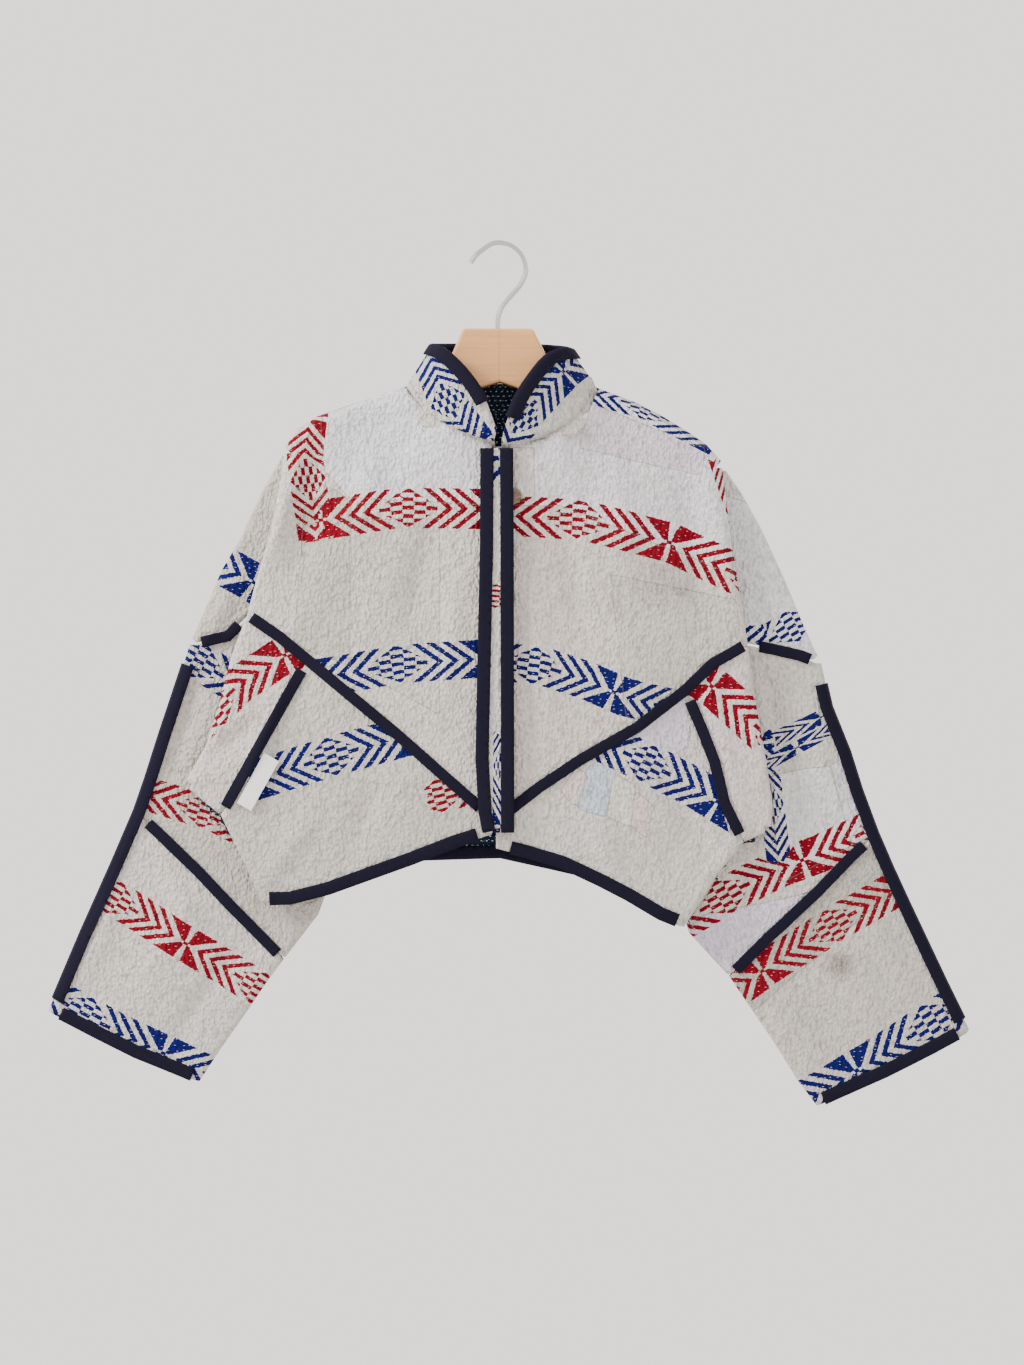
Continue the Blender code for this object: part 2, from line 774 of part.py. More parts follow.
# Collar seam and collar top: x, y, z, from the right front round the back.
COLLAR_BASE = [
    (-6, -36, -199), (-28, -35, -193), (-54, -30, -181), (-70, -24, -171), (-82, -17, -151),
    (-90, -5, -138), (-84, 9, -133), (-58, 19, -131), (-20, 24, -130), (20, 24, -130),
    (58, 19, -132), (86, 9, -134), (93, -5, -139), (86, -18, -159), (71, -27, -178),
    (45, -33, -193), (20, -37, -199), (2, -38, -201),
]
COLLAR_TOP = [
    (-3, -38, -189), (-13, -37, -160), (-28, -35, -136), (-44, -31, -118), (-58, -24, -106),
    (-67, -10, -103), (-64, 6, -101), (-46, 17, -99), (-16, 22, -98), (16, 22, -98),
    (46, 17, -100), (66, 6, -104), (71, -9, -108), (64, -21, -107), (48, -31, -113),
    (32, -37, -131), (15, -40, -158), (4, -41, -190),
]
COLLAR_ROWS = 3
COLLAR_TAPE_LIFT = 4.2
COLLAR_TAPE_LOWEST = 24.0


def collar_surface():
    rows = []
    for row in range(COLLAR_ROWS + 1):
        part = row / COLLAR_ROWS
        rows.append([
            tuple(a + (b - a) * part for a, b in zip(low, high))
            for low, high in zip(smooth_line(COLLAR_BASE, 2), smooth_line(COLLAR_TOP, 2))
        ])
    return rows


def collar(finish):
    sheet = Sheet()
    sheet.grid(collar_surface())
    return solid("collar", sheet, CLOTH, finish)


def collar_tape(finish):
    """Tape folded over the collar's top edge."""
    rows = []
    top = [Vector(point) for point in smooth_line(COLLAR_TOP, 2)]
    base = [Vector(point) for point in smooth_line(COLLAR_BASE, 2)]
    last = len(top) - 1
    for index, point in enumerate(top):
        if (base[index] - point).length < COLLAR_TAPE_LOWEST:
            continue
        run = top[min(last, index + 1)] - top[max(0, index - 1)]
        run.normalize()
        down = base[index] - point
        down = (down - run * down.dot(run)).normalized()
        out = run.cross(down).normalized()
        rows.append([
            tuple(point + down * back_in + out * across * COLLAR_TAPE_LIFT)
            for back_in, across in EDGE_SECTION
        ])
    sheet = Sheet()
    sheet.grid(rows)
    return solid("collar_binding", sheet, TAPE, finish)


PLACKET_LEFT = [(-17, -206), (-17.5, -300), (-22, -512), (-19, -566), (-15, -586)]
PLACKET_RIGHT = [(11, -206), (11.5, -300), (12, -512), (12, -566), (12, -586)]


def placket_height(x, z):
    return depth("body", "front", 0, z) - PLACKET_LIFT


def placket(cloth, tape):
    sheet = Sheet()
    left = resample(PLACKET_LEFT)
    right = resample(PLACKET_RIGHT)
    sheet.region([
        (left, 0.0),
        ([left[-1], right[-1]], 0.0),
        (right[::-1], 0.0),
        ([right[0], left[0]], 0.0),
    ], placket_height)
    solid("placket", sheet, CLOTH, cloth)
    edge_tape("placket_binding_right", left, 1, placket_height, tape)
    edge_tape("placket_binding_left", right, -1, placket_height, tape)


BUTTON_RADIUS = 7.5
BUTTON_THICK = 2.4
BUTTON_PLACE = (14, -253)
BUTTON_LIFT = 3.2


def button(finish):
    x, z = BUTTON_PLACE
    bpy.ops.mesh.primitive_cylinder_add(
        vertices=24, radius=BUTTON_RADIUS * MM, depth=BUTTON_THICK * MM,
        location=(x * MM, (depth("body", "front", x, z) - BUTTON_LIFT) * MM, z * MM),
        rotation=(math.radians(90), 0, 0),
    )
    made = bpy.context.object
    made.name = "button"
    made.data.materials.append(finish)


LABEL = [(-234, -507), (-219.5, -516), (-247, -565), (-261, -557)]
LABEL_LIFT = 4.6
LABEL_THICK = 0.8
LABEL_STEP = 12
HANGER_STEP = 30


def label(finish):
    sheet = Sheet()
    corners = LABEL + LABEL[:1]
    chains = [(resample(corners[i:i + 2], LABEL_STEP), 0.0) for i in range(4)]
    sheet.region(chains, lambda x, z: depth("body", "front", x, z) - LABEL_LIFT)
    return solid("label_blank", sheet, LABEL_THICK, finish)


# Hanger: front outline as x and z, and how it curves forward toward its ends.
HANGER_OUTLINE = [
    (-171, -194), (-166, -186), (-140, -175), (-95, -161), (-66, -142), (-51, -116),
    (-37, -84), (33, -84), (51, -120), (66, -144), (95, -163), (140, -181),
    (168, -194), (173, -202), (166, -209), (140, -201), (95, -186), (58, -168),
    (30, -148), (0, -137.5), (-28, -146), (-58, -166), (-95, -182), (-140, -194), (-165, -203),
]
HANGER_THICK = 15.0
HANGER_FORWARD = -8.5
HANGER_HALF = 172.0
HANGER_BEVEL = 2.5


def hanger(finish):
    sheet = Sheet()
    corners = HANGER_OUTLINE + HANGER_OUTLINE[:1]
    chains = [(resample(corners[i:i + 2], HANGER_STEP), 0.0) for i in range(len(HANGER_OUTLINE))]
    sheet.region(chains, lambda x, z: HANGER_FORWARD * (abs(x) / HANGER_HALF) ** 2)
    made = solid("hanger_wood", sheet, HANGER_THICK, finish)
    bevel = made.modifiers.new("soft_edges", "BEVEL")
    bevel.width = HANGER_BEVEL * MM
    bevel.segments = 2
    bevel.limit_method = "ANGLE"
    bevel.angle_limit = math.radians(50)


HOOK_ROD = 2.55
HOOK_LINE = [
    (-29.2, -17.7), (-24, -10), (-18, -5), (-9, 1), (0, 2.55), (11, 0), (20.6, -8),
    (25.4, -18.4), (25.4, -29), (19.3, -41.3), (9, -53), (1.4, -63), (-1.8, -73), (-2, -83.6),
]


def smooth_line(points, parts=3):
    """A smooth curve through the points."""
    result = []
    last = len(points) - 1
    for index in range(last):
        a = points[max(0, index - 1)]
        b = points[index]
        c = points[index + 1]
        d = points[min(last, index + 2)]
        for step in range(parts):
            t = step / parts
            result.append(tuple(
                0.5 * (2 * q + (r - p) * t + (2 * p - 5 * q + 4 * r - s) * t * t
                       + (3 * q - p - 3 * r + s) * t ** 3)
                for p, q, r, s in zip(a, b, c, d)
            ))
    result.append(tuple(points[-1]))
    return result


def hook(finish):
    curve = bpy.data.curves.new("hanger_hook", "CURVE")
    curve.dimensions = "3D"
    curve.bevel_depth = HOOK_ROD * MM
    curve.bevel_resolution = 2
    curve.use_fill_caps = True
    line = smooth_line(HOOK_LINE)
    spline = curve.splines.new("POLY")
    spline.points.add(len(line) - 1)
    for place, (x, z) in zip(spline.points, line):
        place.co = (x * MM, 0.0, z * MM, 1.0)
    made = bpy.data.objects.new("hanger_hook", curve)
    made.data.materials.append(finish)
    bpy.context.collection.objects.link(made)


def half_tapes(side, half, tape):
    front = body_height("front")
    sleeve_front = sleeve_height(side, "front")
    sleeve_back = sleeve_height(side, "back")
    inward = 1 if side == "right" else -1
    seam_tape("binding_diagonal_" + side, trimmed(chain_of(half, "diagonal"), 5, 16), front, -1, tape)
    seam_tape("binding_armhole_" + side, trimmed(chain_of(half, "armhole"), 12, 9), front, -1, tape)
    edge_tape("binding_hem_" + side, trimmed(chain_of(half, "hem"), END_TRIM, 14), inward, front, tape)
    for place, height, outward in (("front", sleeve_front, -1), ("back", sleeve_back, 1)):
        line = trimmed(chain_of(half, "cuff_seam"), 8, 18)
        seam_tape("binding_cuff_seam_" + place + "_" + side, line, height, outward, tape)
        line = trimmed(chain_of(half, "cuff_hem"), 8, 12)
        edge_tape("binding_cuff_hem_" + place + "_" + side, line, -inward, height, tape)
        line = trimmed(chain_of(half, "sleeve_seam"), 14, 12)
        seam_tape("binding_sleeve_seam_" + place + "_" + side, line, height, outward, tape)
    line = half["outer_middle"] + half["outer_cuff"][1:]
    line = trimmed(resample(line), 20, 14)
    outer_tape("binding_outer_" + side, side, line, inward, tape)


CREAM = (0.62, 0.60, 0.55)
NAVY = (0.012, 0.010, 0.028)
WOOD = (0.80, 0.50, 0.27)
STEEL = (0.80, 0.81, 0.82)
BROWN = (0.12, 0.07, 0.05)
WHITE = (0.85, 0.85, 0.84)


def build():
    clear_scene()
    cloth = material("quilted_cotton", CREAM, 0.9)
    tape = material("navy_binding", NAVY, 0.85)
    for side, half in (("right", RIGHT), ("left", LEFT)):
        front_yoke("front_yoke_" + side, half, cloth)
        side_panel("underarm_" + side, half, cloth)
        lower_front("front_lower_" + side, half, cloth)
        upper_sleeve("sleeve_upper_" + side, side, half, cloth)
        middle_sleeve("sleeve_middle_" + side, side, half, cloth)
        cuff("cuff_" + side, side, half, cloth)
        half_tapes(side, half, tape)
    back_panel(cloth)
    edge_tape("binding_hem_back", trimmed(resample(BACK_HEM), 15, 26), 1, body_height("back"), tape)
    collar(cloth)
    collar_tape(tape)
    placket(cloth, tape)
    button(material("button_horn", BROWN, 0.4))
    label(material("label_cotton", WHITE, 0.9))
    hanger(material("beech_wood", WOOD, 0.5))
    hook(material("hook_steel", STEEL, 0.3, 1.0))


build()
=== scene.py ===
# Looks of the cropped, quilted patchwork jacket on its wooden hanger.
#
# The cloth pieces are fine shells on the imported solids. Their woven bands
# run along the lines in BANDS, and the patches lie in the outlines in
# PATCHES, both as (x, z) in millimetres, seen from the front.

import math

import bmesh
import bpy
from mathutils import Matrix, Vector, noise
from mathutils.bvhtree import BVHTree


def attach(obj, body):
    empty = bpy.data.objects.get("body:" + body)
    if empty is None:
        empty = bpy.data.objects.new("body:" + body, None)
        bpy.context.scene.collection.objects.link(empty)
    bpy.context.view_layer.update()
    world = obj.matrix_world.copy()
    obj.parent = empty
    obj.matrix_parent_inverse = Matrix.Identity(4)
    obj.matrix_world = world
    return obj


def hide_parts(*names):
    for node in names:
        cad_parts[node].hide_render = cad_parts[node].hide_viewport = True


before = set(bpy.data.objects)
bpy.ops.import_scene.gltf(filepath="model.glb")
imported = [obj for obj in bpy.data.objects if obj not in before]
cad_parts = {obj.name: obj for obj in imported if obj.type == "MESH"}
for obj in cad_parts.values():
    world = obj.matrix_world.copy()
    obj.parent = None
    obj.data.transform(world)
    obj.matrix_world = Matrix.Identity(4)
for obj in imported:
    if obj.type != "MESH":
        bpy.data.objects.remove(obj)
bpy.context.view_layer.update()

bl_info = {
    "name": "Patchwork jacket",
    "version": (1, 0, 0),
    "blender": (4, 5, 0),
    "location": "View3D > Sidebar > Jacket",
    "description": "Builds a quilted patchwork jacket on a hanger",
    "category": "Object",
}

MM = 0.001
CREASE_GAIN = 3.4
CREASE_ENDS = (0.1, 0.8)
SWELL_HEIGHT = 1.2
SWELL_LENGTH = 60

# Fine meshes: merge distance in metres, most rounds of cuts, and the angle in radians of an edge kept sharp.
MERGE = 0.00001
CUT_ROUNDS = 5
SHARP_ANGLE = 0.4
TAPE_SMOOTHING = 2
CLOTH_SMOOTHING = 4

# Woven repeat, in millimetres of a full-size band, from the lozenge's middle to the petals' centre.
HALF_REPEAT = 90.0
HALF_HEIGHT = 22
BAND_EDGE = 21.0
BAND_REACH = 8
BAND_OVERRUN = 12
LOZENGE_SLOPE = 0.6
LOZENGE_REACH = 20.8
CHECK_LENGTH = 12
CHECK_HEIGHT = 4.4
CHEVRON_SLOPE = 0.85
CHEVRON_START = 33.0
CHEVRON_END = 70.0
CHEVRON_PITCH = 12.8
PETAL_START = 72.5
PETAL_GAP = 1.3
PETAL_SPLIT = 1.4
PETAL_SPLIT_SLOPE = 0.11

# Reverse: rows of stitches, in millimetres.
REVERSE_ROW = 4.6
REVERSE_STITCH = 5.5

# Search for what faces the inside: start and reach of a ray, in metres.
RAY_START = 0.0016
RAY_REACH = 0.06

# Floor below the jacket, out of the picture, and the camera, in metres.
FLOOR_SIDE = 3
FLOOR_FRONT = 3
FLOOR_BACK = 2
FLOOR_Z = -1.9
CAMERA_PLACE = (0.012, -3.0, -0.4375)
CAMERA_LENS = 79.1
CAMERA_SENSOR = 36.0
ROOM_COLOUR = "#e6e2df"
ROOM_STRENGTH = 2.2
LAMP_COLOUR = (1.0, 0.98, 0.96)

# Running stitches, in metres: the width and height of the field of rows, its centre and its distance from
# the jacket, then half a stitch's width, its rise and how far it wanders.
FIELD_WIDTH = 0.94
FIELD_HEIGHT = 0.84
FIELD_Z = -0.48
FIELD_AWAY = 0.2
STITCH_HALF_WIDTH = 0.00024
STITCH_RISE = 0.0003
STITCH_WANDER = 0.0016

# Soft lights: name, place, size and power. AIM is the middle of the jacket.
AIM = Vector((0.0, 0.0, -0.45))
LIGHTS = [
    ("key_light", (-2.4, -1.0, 1.3), 0.7, 150.0),
    ("fill_light", (2.0, -2.4, 0.2), 2.2, 6.0),
    ("back_light", (1.2, 2.4, 1.0), 2.0, 26.0),
]

# Panels: node, cut width, cut length and cut area in metres, ground colour.
PANELS = {
    "front_yoke_right": (0.27, 0.45, 0.072, "#d3cec7"),
    "front_yoke_left": (0.27, 0.45, 0.078, "#d3cdc6"),
    "front_lower_right": (0.28, 0.25, 0.036, "#c3c0b8"),
    "front_lower_left": (0.27, 0.25, 0.032, "#cdcac6"),
    "underarm_right": (0.13, 0.21, 0.0125, "#d2cbc6"),
    "underarm_left": (0.11, 0.21, 0.0120, "#dad0cd"),
    "sleeve_upper_right": (0.14, 0.21, 0.020, "#bdb9b0"),
    "sleeve_upper_left": (0.15, 0.22, 0.023, "#d2cfcd"),
    "sleeve_middle_right": (0.40, 0.36, 0.058, "#bcb8af"),
    "sleeve_middle_left": (0.42, 0.36, 0.071, "#cbc8c2"),
    "cuff_right": (0.36, 0.30, 0.071, "#cbc8c4"),
    "cuff_left": (0.36, 0.30, 0.072, "#c3bfb8"),
    "back": (0.58, 0.56, 0.24, "#d0ccc5"),
    "collar": (0.34, 0.065, 0.0178, "#c6c6be"),
    "placket": (0.036, 0.40, 0.0118, "#d6d1ca"),
}

# Patches: panel, tint, outline.
PATCHES = [
    ("front_yoke_right", "#e3e3e6", [(-178, -172), (-96, -140), (-8, -196), (-8, -262), (-150, -254),
                                     (-162, -240), (-175, -226)]),
    ("front_yoke_right", "#c3c0b6", [(-195, -262), (-165, -245), (-148, -258), (-150, -420), (-205, -400)]),
    ("front_yoke_right", "#cfcac3", [(-148, -275), (-60, -275), (-60, -470), (-148, -420)]),
    ("front_yoke_left", "#e1dfe2", [(-4, -200), (98, -140), (225, -215), (232, -330), (60, -262),
                                    (-4, -262)]),
    ("front_yoke_left", "#d9cfd6", [(90, -160), (205, -205), (200, -232), (78, -205)]),
    ("front_yoke_left", "#ded7d3", [(-4, -205), (34, -205), (34, -258), (-4, -258)]),
    ("front_yoke_left", "#cbc6bd", [(110, -330), (235, -355), (240, -400), (140, -480), (125, -470)]),
    ("front_lower_left", "#d9cbc6", [(60, -545), (75, -522), (88, -528), (76, -563)]),
    ("front_lower_left", "#bfc8d6", [(76, -563), (88, -520), (113, -520), (106, -571)]),
    ("front_lower_left", "#dcdacd", [(106, -571), (113, -528), (134, -540), (130, -580)]),
    ("front_lower_left", "#dbc9c4", [(130, -580), (134, -545), (153, -560), (145, -592)]),
    ("front_lower_left", "#d5cedb", [(130, -490), (184, -447), (190, -500), (150, -520)]),
    ("sleeve_middle_left", "#dcd6de", [(330, -520), (350, -510), (375, -590), (352, -600)]),
    ("sleeve_middle_left", "#dddcda", [(270, -530), (330, -520), (352, -600), (280, -640)]),
    ("sleeve_middle_left", "#d6cddb", [(196, -672), (300, -650), (330, -640), (235, -735), (190, -690)]),
    ("sleeve_upper_left", "#e0dfe1", [(222, -250), (262, -262), (330, -420), (246, -420)]),
    ("cuff_left", "#b5b1a8", [(225, -730), (380, -590), (400, -640), (250, -770)]),
    ("collar", "#cbcbc3", [(-110, -80), (-80, -80), (-80, -160), (-110, -160)]),
]

# Stains: x, y, z and radius in millimetres, then strength.
STAINS = [
    (340, 3, -720, 20, 1.7), (160, -28, -334, 34, 0.8), (186, -27, -345, 18, 0.8), (128, -28, -306, 14, 0.6),
]

# Woven bands: panel, ink, half repeat, where the first lozenge's middle lies
# along the line, half height, then the centre line.
RED = 1.0
BLUE = 2.0
BANDS = [
    ("front_yoke_right", RED, 88, 95, 21, [(-185, -277), (-97, -264), (-4, -266)]),
    ("front_yoke_right", RED, 62, 66, 19, [(-189, -170), (-194, -212), (-184, -284)]),
    ("front_yoke_right", BLUE, 90, 92, 20, [(-192, -435), (-148, -428), (-99, -419), (-4, -413)]),
    ("front_lower_right", BLUE, 86, 74, 21, [(-238, -533), (-164, -510), (-90, -490)]),
    ("front_lower_right", RED, 88, 0, 18, [(-60, -550), (-10, -536)]),
    ("underarm_right", RED, 90, 110, 20, [(-196, -402), (-219, -413), (-260, -440), (-290, -470)]),
    ("sleeve_upper_right", BLUE, 90, 100, 21, [(-238, -343), (-247, -337), (-285, -316)]),
    ("sleeve_middle_right", BLUE, 88, 24, 20, [(-322, -404), (-300, -417), (-262, -441)]),
    ("sleeve_middle_right", RED, 90, 76, 18, [(-366, -540), (-350, -550), (-287, -569), (-262, -582)]),
    ("cuff_right", RED, 85, 16, 19, [(-400, -645), (-386, -653), (-320, -695), (-251, -738), (-236, -747)]),
    ("cuff_right", BLUE, 88, 30, 20, [(-442, -755), (-385, -786), (-300, -826)]),
    ("front_yoke_left", RED, 93, 78, 21, [(0, -272), (80, -276), (171, -299), (240, -332)]),
    ("front_yoke_left", BLUE, 80, 60, 13, [(88, -148), (140, -162), (205, -196)]),
    ("front_yoke_left", RED, 60, 40, 12, [(222, -226), (236, -268)]),
    ("front_yoke_left", BLUE, 84, 34, 20, [(0, -416), (44, -422), (85, -435), (124, -452), (175, -464)]),
    ("front_lower_left", BLUE, 80, 60, 21, [(92, -492), (153, -521), (192, -541), (232, -566)]),
    ("underarm_left", RED, 86, 110, 21, [(190, -428), (213, -443), (257, -483)]),
    ("sleeve_upper_left", BLUE, 80, 56, 18, [(240, -398), (268, -397), (296, -379), (318, -370)]),
    ("sleeve_middle_left", BLUE, 90, 130, 8, [(286, -489), (332, -467)]),
    ("sleeve_middle_left", BLUE, 90, 130, 7, [(262, -522), (338, -480)]),
    ("sleeve_middle_left", BLUE, 62, 60, 13, [(262, -500), (268, -530), (278, -606)]),
    ("sleeve_middle_left", RED, 86, 40, 20, [(190, -672), (240, -643), (279, -624), (319, -609),
                                             (372, -584)]),
    ("cuff_left", RED, 84, 124, 19, [(230, -750), (274, -718), (345, -673), (400, -642)]),
    ("cuff_left", BLUE, 89, 146, 22, [(308, -855), (369, -819), (444, -770), (470, -756)]),
    ("placket", BLUE, 88, 0, 26, [(-30, -216), (20, -216)]),
    ("placket", RED, 60, 26, 13, [(-30, -350), (20, -354)]),
    ("placket", BLUE, 60, 20, 9, [(2, -500), (1, -600)]),
    ("back", RED, 90, 60, 21, [(-225, -262), (-60, -272), (90, -268), (240, -282)]),
    ("back", BLUE, 90, 20, 21, [(-262, -420), (-90, -430), (80, -424), (260, -440)]),
    ("back", RED, 88, 50, 19, [(-280, -560), (-90, -552), (80, -562), (260, -570)]),
    ("collar", BLUE, 56, 50, 20, [(-24, -200), (-48, -168), (-70, -112)]),
    ("collar", BLUE, 60, 30, 20, [(8, -200), (24, -172), (64, -128), (84, -110)]),
]

# Creases: start x, z, end x, z, half width, rise toward the viewer (minus is a trough).
CREASES = [
    (-196, -200, -236, -330, 9, 1.6), (-182, -215, -205, -360, 12, -1.5), (-120, -200, -150, -300, 14, 1.2),
    (-60, -240, -92, -400, 13, -1.2), (-40, -330, -60, -480, 10, 1.0), (-210, -430, -262, -560, 8, 1.3),
    (-230, -470, -300, -520, 9, -1.2), (-180, -560, -235, -640, 12, 1.4), (-120, -520, -150, -620, 13, -1.2),
    (-262, -330, -292, -392, 8, 1.2), (-300, -430, -330, -540, 9, -1.4), (-340, -600, -300, -700, 12, 1.2),
    (-260, -700, -330, -800, 11, -1.3), (-380, -640, -420, -740, 10, 1.0), (-300, -560, -230, -640, 9, 1.0),
    (204, -212, 228, -330, 10, 1.5), (180, -220, 205, -380, 13, -1.4), (110, -200, 130, -320, 14, 1.1),
    (60, -250, 84, -400, 12, -1.1), (30, -330, 52, -500, 11, 1.0), (205, -440, 240, -570, 9, 1.2),
    (160, -520, 215, -620, 12, -1.3), (90, -540, 120, -640, 13, 1.2), (252, -300, 290, -400, 9, 1.2),
    (262, -420, 300, -560, 10, -1.3), (300, -450, 340, -560, 12, 1.2), (240, -640, 300, -700, 10, 1.0),
    (290, -740, 360, -830, 12, -1.2), (350, -640, 420, -760, 12, 1.2), (262, -560, 230, -660, 9, -1.0),
]

# Folds down the body's sides, where the cloth turns back under the sleeves: x, z in millimetres.
SIDE_FOLDS = [
    [(-213, -203), (-227, -287), (-251, -370), (-279, -459), (-314, -539)],
    [(220, -218), (238, -348), (246, -399), (264, -514), (269, -584)],
]
FOLD_REACH = 14

# Seam where the collar meets the yokes: x, y, z in millimetres, from the right front round the back.
NECK_SEAM = [
    (-6, -36, -199), (-28, -35, -193), (-54, -30, -181), (-70, -24, -171), (-82, -17, -151), (-90, -5, -138),
    (-84, 9, -133), (-58, 19, -131), (-20, 24, -130), (20, 24, -130), (58, 19, -132), (86, 9, -134),
    (93, -5, -139), (86, -18, -159), (71, -27, -178), (45, -33, -193), (20, -37, -199), (2, -38, -201),
]
# The seam's turned-in edge: across the seam, how far in and how far up.
SEAM_SIDE_START = 48
SEAM_SIDE_REACH = 22
SEAM_SIDE_OUT = 9
SEAM_SIDE_DROP = 11
SEAM_SECTION = [(1.5, 6.0), (2.5, -1.0), (10.0, -7.0), (11.0, -6.0), (3.5, 0.0), (2.5, 6.0)]


def linear(hex_colour):
    """An sRGB hex colour as linear red, green, blue and full alpha."""
    parts = [int(hex_colour[place:place + 2], 16) / 255 for place in (1, 3, 5)]
    values = [part / 12.92 if part <= 0.04045 else ((part + 0.055) / 1.055) ** 2.4 for part in parts]
    return (*values, 1.0)


def mixed(start, end, part):
    return tuple(a + (b - a) * part for a, b in zip(start, end))


def inside(x, z, outline):
    hit = False
    for (x0, z0), (x1, z1) in zip(outline, outline[1:] + outline[:1]):
        if (z0 > z) != (z1 > z) and x0 + (x1 - x0) * (z - z0) / (z1 - z0) > x:
            hit = not hit
    return hit


def place_on(line, x, z):
    """Nearest place on a line: distance along it and signed distance from it."""
    best = (1e9, 0.0, 0.0)
    start = 0.0
    last = len(line) - 2
    for index, ((x0, z0), (x1, z1)) in enumerate(zip(line, line[1:])):
        dx, dz = x1 - x0, z1 - z0
        size = math.hypot(dx, dz)
        along = ((x - x0) * dx + (z - z0) * dz) / size
        low = -1e9 if index == 0 else 0.0
        high = 1e9 if index == last else size
        held = min(high, max(low, along))
        gap = math.hypot(x - x0 - held * dx / size, z - z0 - held * dz / size)
        side = 1 if (z - z0) * dx - (x - x0) * dz > 0 else -1
        if gap < best[0]:
            best = (gap, start + held, gap * side)
        start += size
    return best[1], best[2], start


def crease_rise(x, z):
    """How far the creases move the cloth toward the viewer, in millimetres."""
    rise = SWELL_HEIGHT * noise.noise(Vector((x / SWELL_LENGTH, z / SWELL_LENGTH, 0.3)))
    start, span = CREASE_ENDS
    for x0, z0, x1, z1, width, height in CREASES:
        dx, dz = x1 - x0, z1 - z0
        part = ((x - x0) * dx + (z - z0) * dz) / (dx * dx + dz * dz)
        part = min(1.0, max(0.0, part))
        gap = math.hypot(x - x0 - part * dx, z - z0 - part * dz)
        if gap < 3 * width:
            taper = math.sin(math.pi * (start + span * part))
            rise += CREASE_GAIN * height * taper * math.exp(-(gap / width) ** 2)
    return rise


def fine_mesh(name, nodes, step, smoothing):
    """A fine copy of CAD nodes, with their facets smoothed away."""
    work = bmesh.new()
    for node in nodes:
        work.from_mesh(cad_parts[node].data)
    bmesh.ops.remove_doubles(work, verts=work.verts, dist=MERGE)
    for _ in range(CUT_ROUNDS):
        long_edges = [edge for edge in work.edges if edge.calc_length() > step]
        if not long_edges:
            break
        bmesh.ops.subdivide_edges(work, edges=long_edges, cuts=1)
        bmesh.ops.triangulate(work, faces=[face for face in work.faces if len(face.verts) > 3])
    held = set()
    for edge in work.edges:
        if len(edge.link_faces) == 2 and edge.calc_face_angle(0.0) > SHARP_ANGLE:
            held.update(edge.verts)
    free = [vert for vert in work.verts if vert not in held]
    for _ in range(smoothing):
        bmesh.ops.smooth_vert(work, verts=free, factor=0.5, use_axis_x=False, use_axis_y=True,
                              use_axis_z=False)
    for vert in work.verts:
        vert.co.y -= crease_rise(vert.co.x / MM, vert.co.z / MM) * MM
    mesh = bpy.data.meshes.new(name)
    work.to_mesh(mesh)
    work.free()
    piece = bpy.data.objects.new(name, mesh)
    bpy.context.collection.objects.link(piece)
    return piece


class Graph:
    """A material's nodes, with short ways to add them."""

    def __init__(self, name):
        self.material = bpy.data.materials.new(name)
        self.material.use_nodes = True
        self.nodes = self.material.node_tree.nodes
        self.links = self.material.node_tree.links
        self.surface = self.nodes["Principled BSDF"]

    def put(self, socket, value):
        if isinstance(value, bpy.types.NodeSocket):
            self.links.new(value, socket)
        elif value is not None:
            socket.default_value = value

    def add(self, kind, values=(), out=0, **settings):
        node = self.nodes.new(kind)
        for key, value in settings.items():
            setattr(node, key, value)
        for place, value in dict(values).items():
            self.put(node.inputs[place], value)
        return node.outputs[out]

    def math(self, operation, first, second=None, third=None):
        return self.add("ShaderNodeMath", {0: first, 1: second, 2: third}, operation=operation)

    def mix(self, part, first, second, blend="MIX"):
        return self.add("ShaderNodeMix", {0: part, 6: first, 7: second}, out=2, data_type="RGBA",
                        blend_type=blend)

    def both(self, first, *others):
        for other in others:
            first = self.math("MULTIPLY", first, other)
        return first

    def either(self, first, *others):
        for other in others:
            first = self.math("MAXIMUM", first, other)
        return first

    def above(self, value, limit):
        return self.math("GREATER_THAN", value, limit)

    def below(self, value, limit):
        return self.math("LESS_THAN", value, limit)

    def sum(self, value, gain, start=0.0):
        return self.math("MULTIPLY_ADD", value, gain, start)

    def noise(self, where, scale, detail=2.0, rough=0.5):
        return self.add("ShaderNodeTexNoise", {"Vector": where, "Scale": scale, "Detail": detail,
                                               "Roughness": rough})

    def place(self, stretch=(1000, 1000, 1000)):
        """The object's own coordinates, in millimetres divided by the lengths given."""
        where = self.add("ShaderNodeTexCoord", out=3)
        return self.add("ShaderNodeVectorMath", {0: where, 1: stretch}, operation="MULTIPLY")

    def finish(self, colour, rough, height=None, depth=0.001, **values):
        self.put(self.surface.inputs["Base Color"], colour)
        self.put(self.surface.inputs["Roughness"], rough)
        for key, value in values.items():
            self.put(self.surface.inputs[key.replace("_", " ")], value)
        if height is not None:
            bump = self.add("ShaderNodeBump", {"Height": height, "Distance": depth, "Strength": 1.0})
            self.put(self.surface.inputs["Normal"], bump)
        return self.material


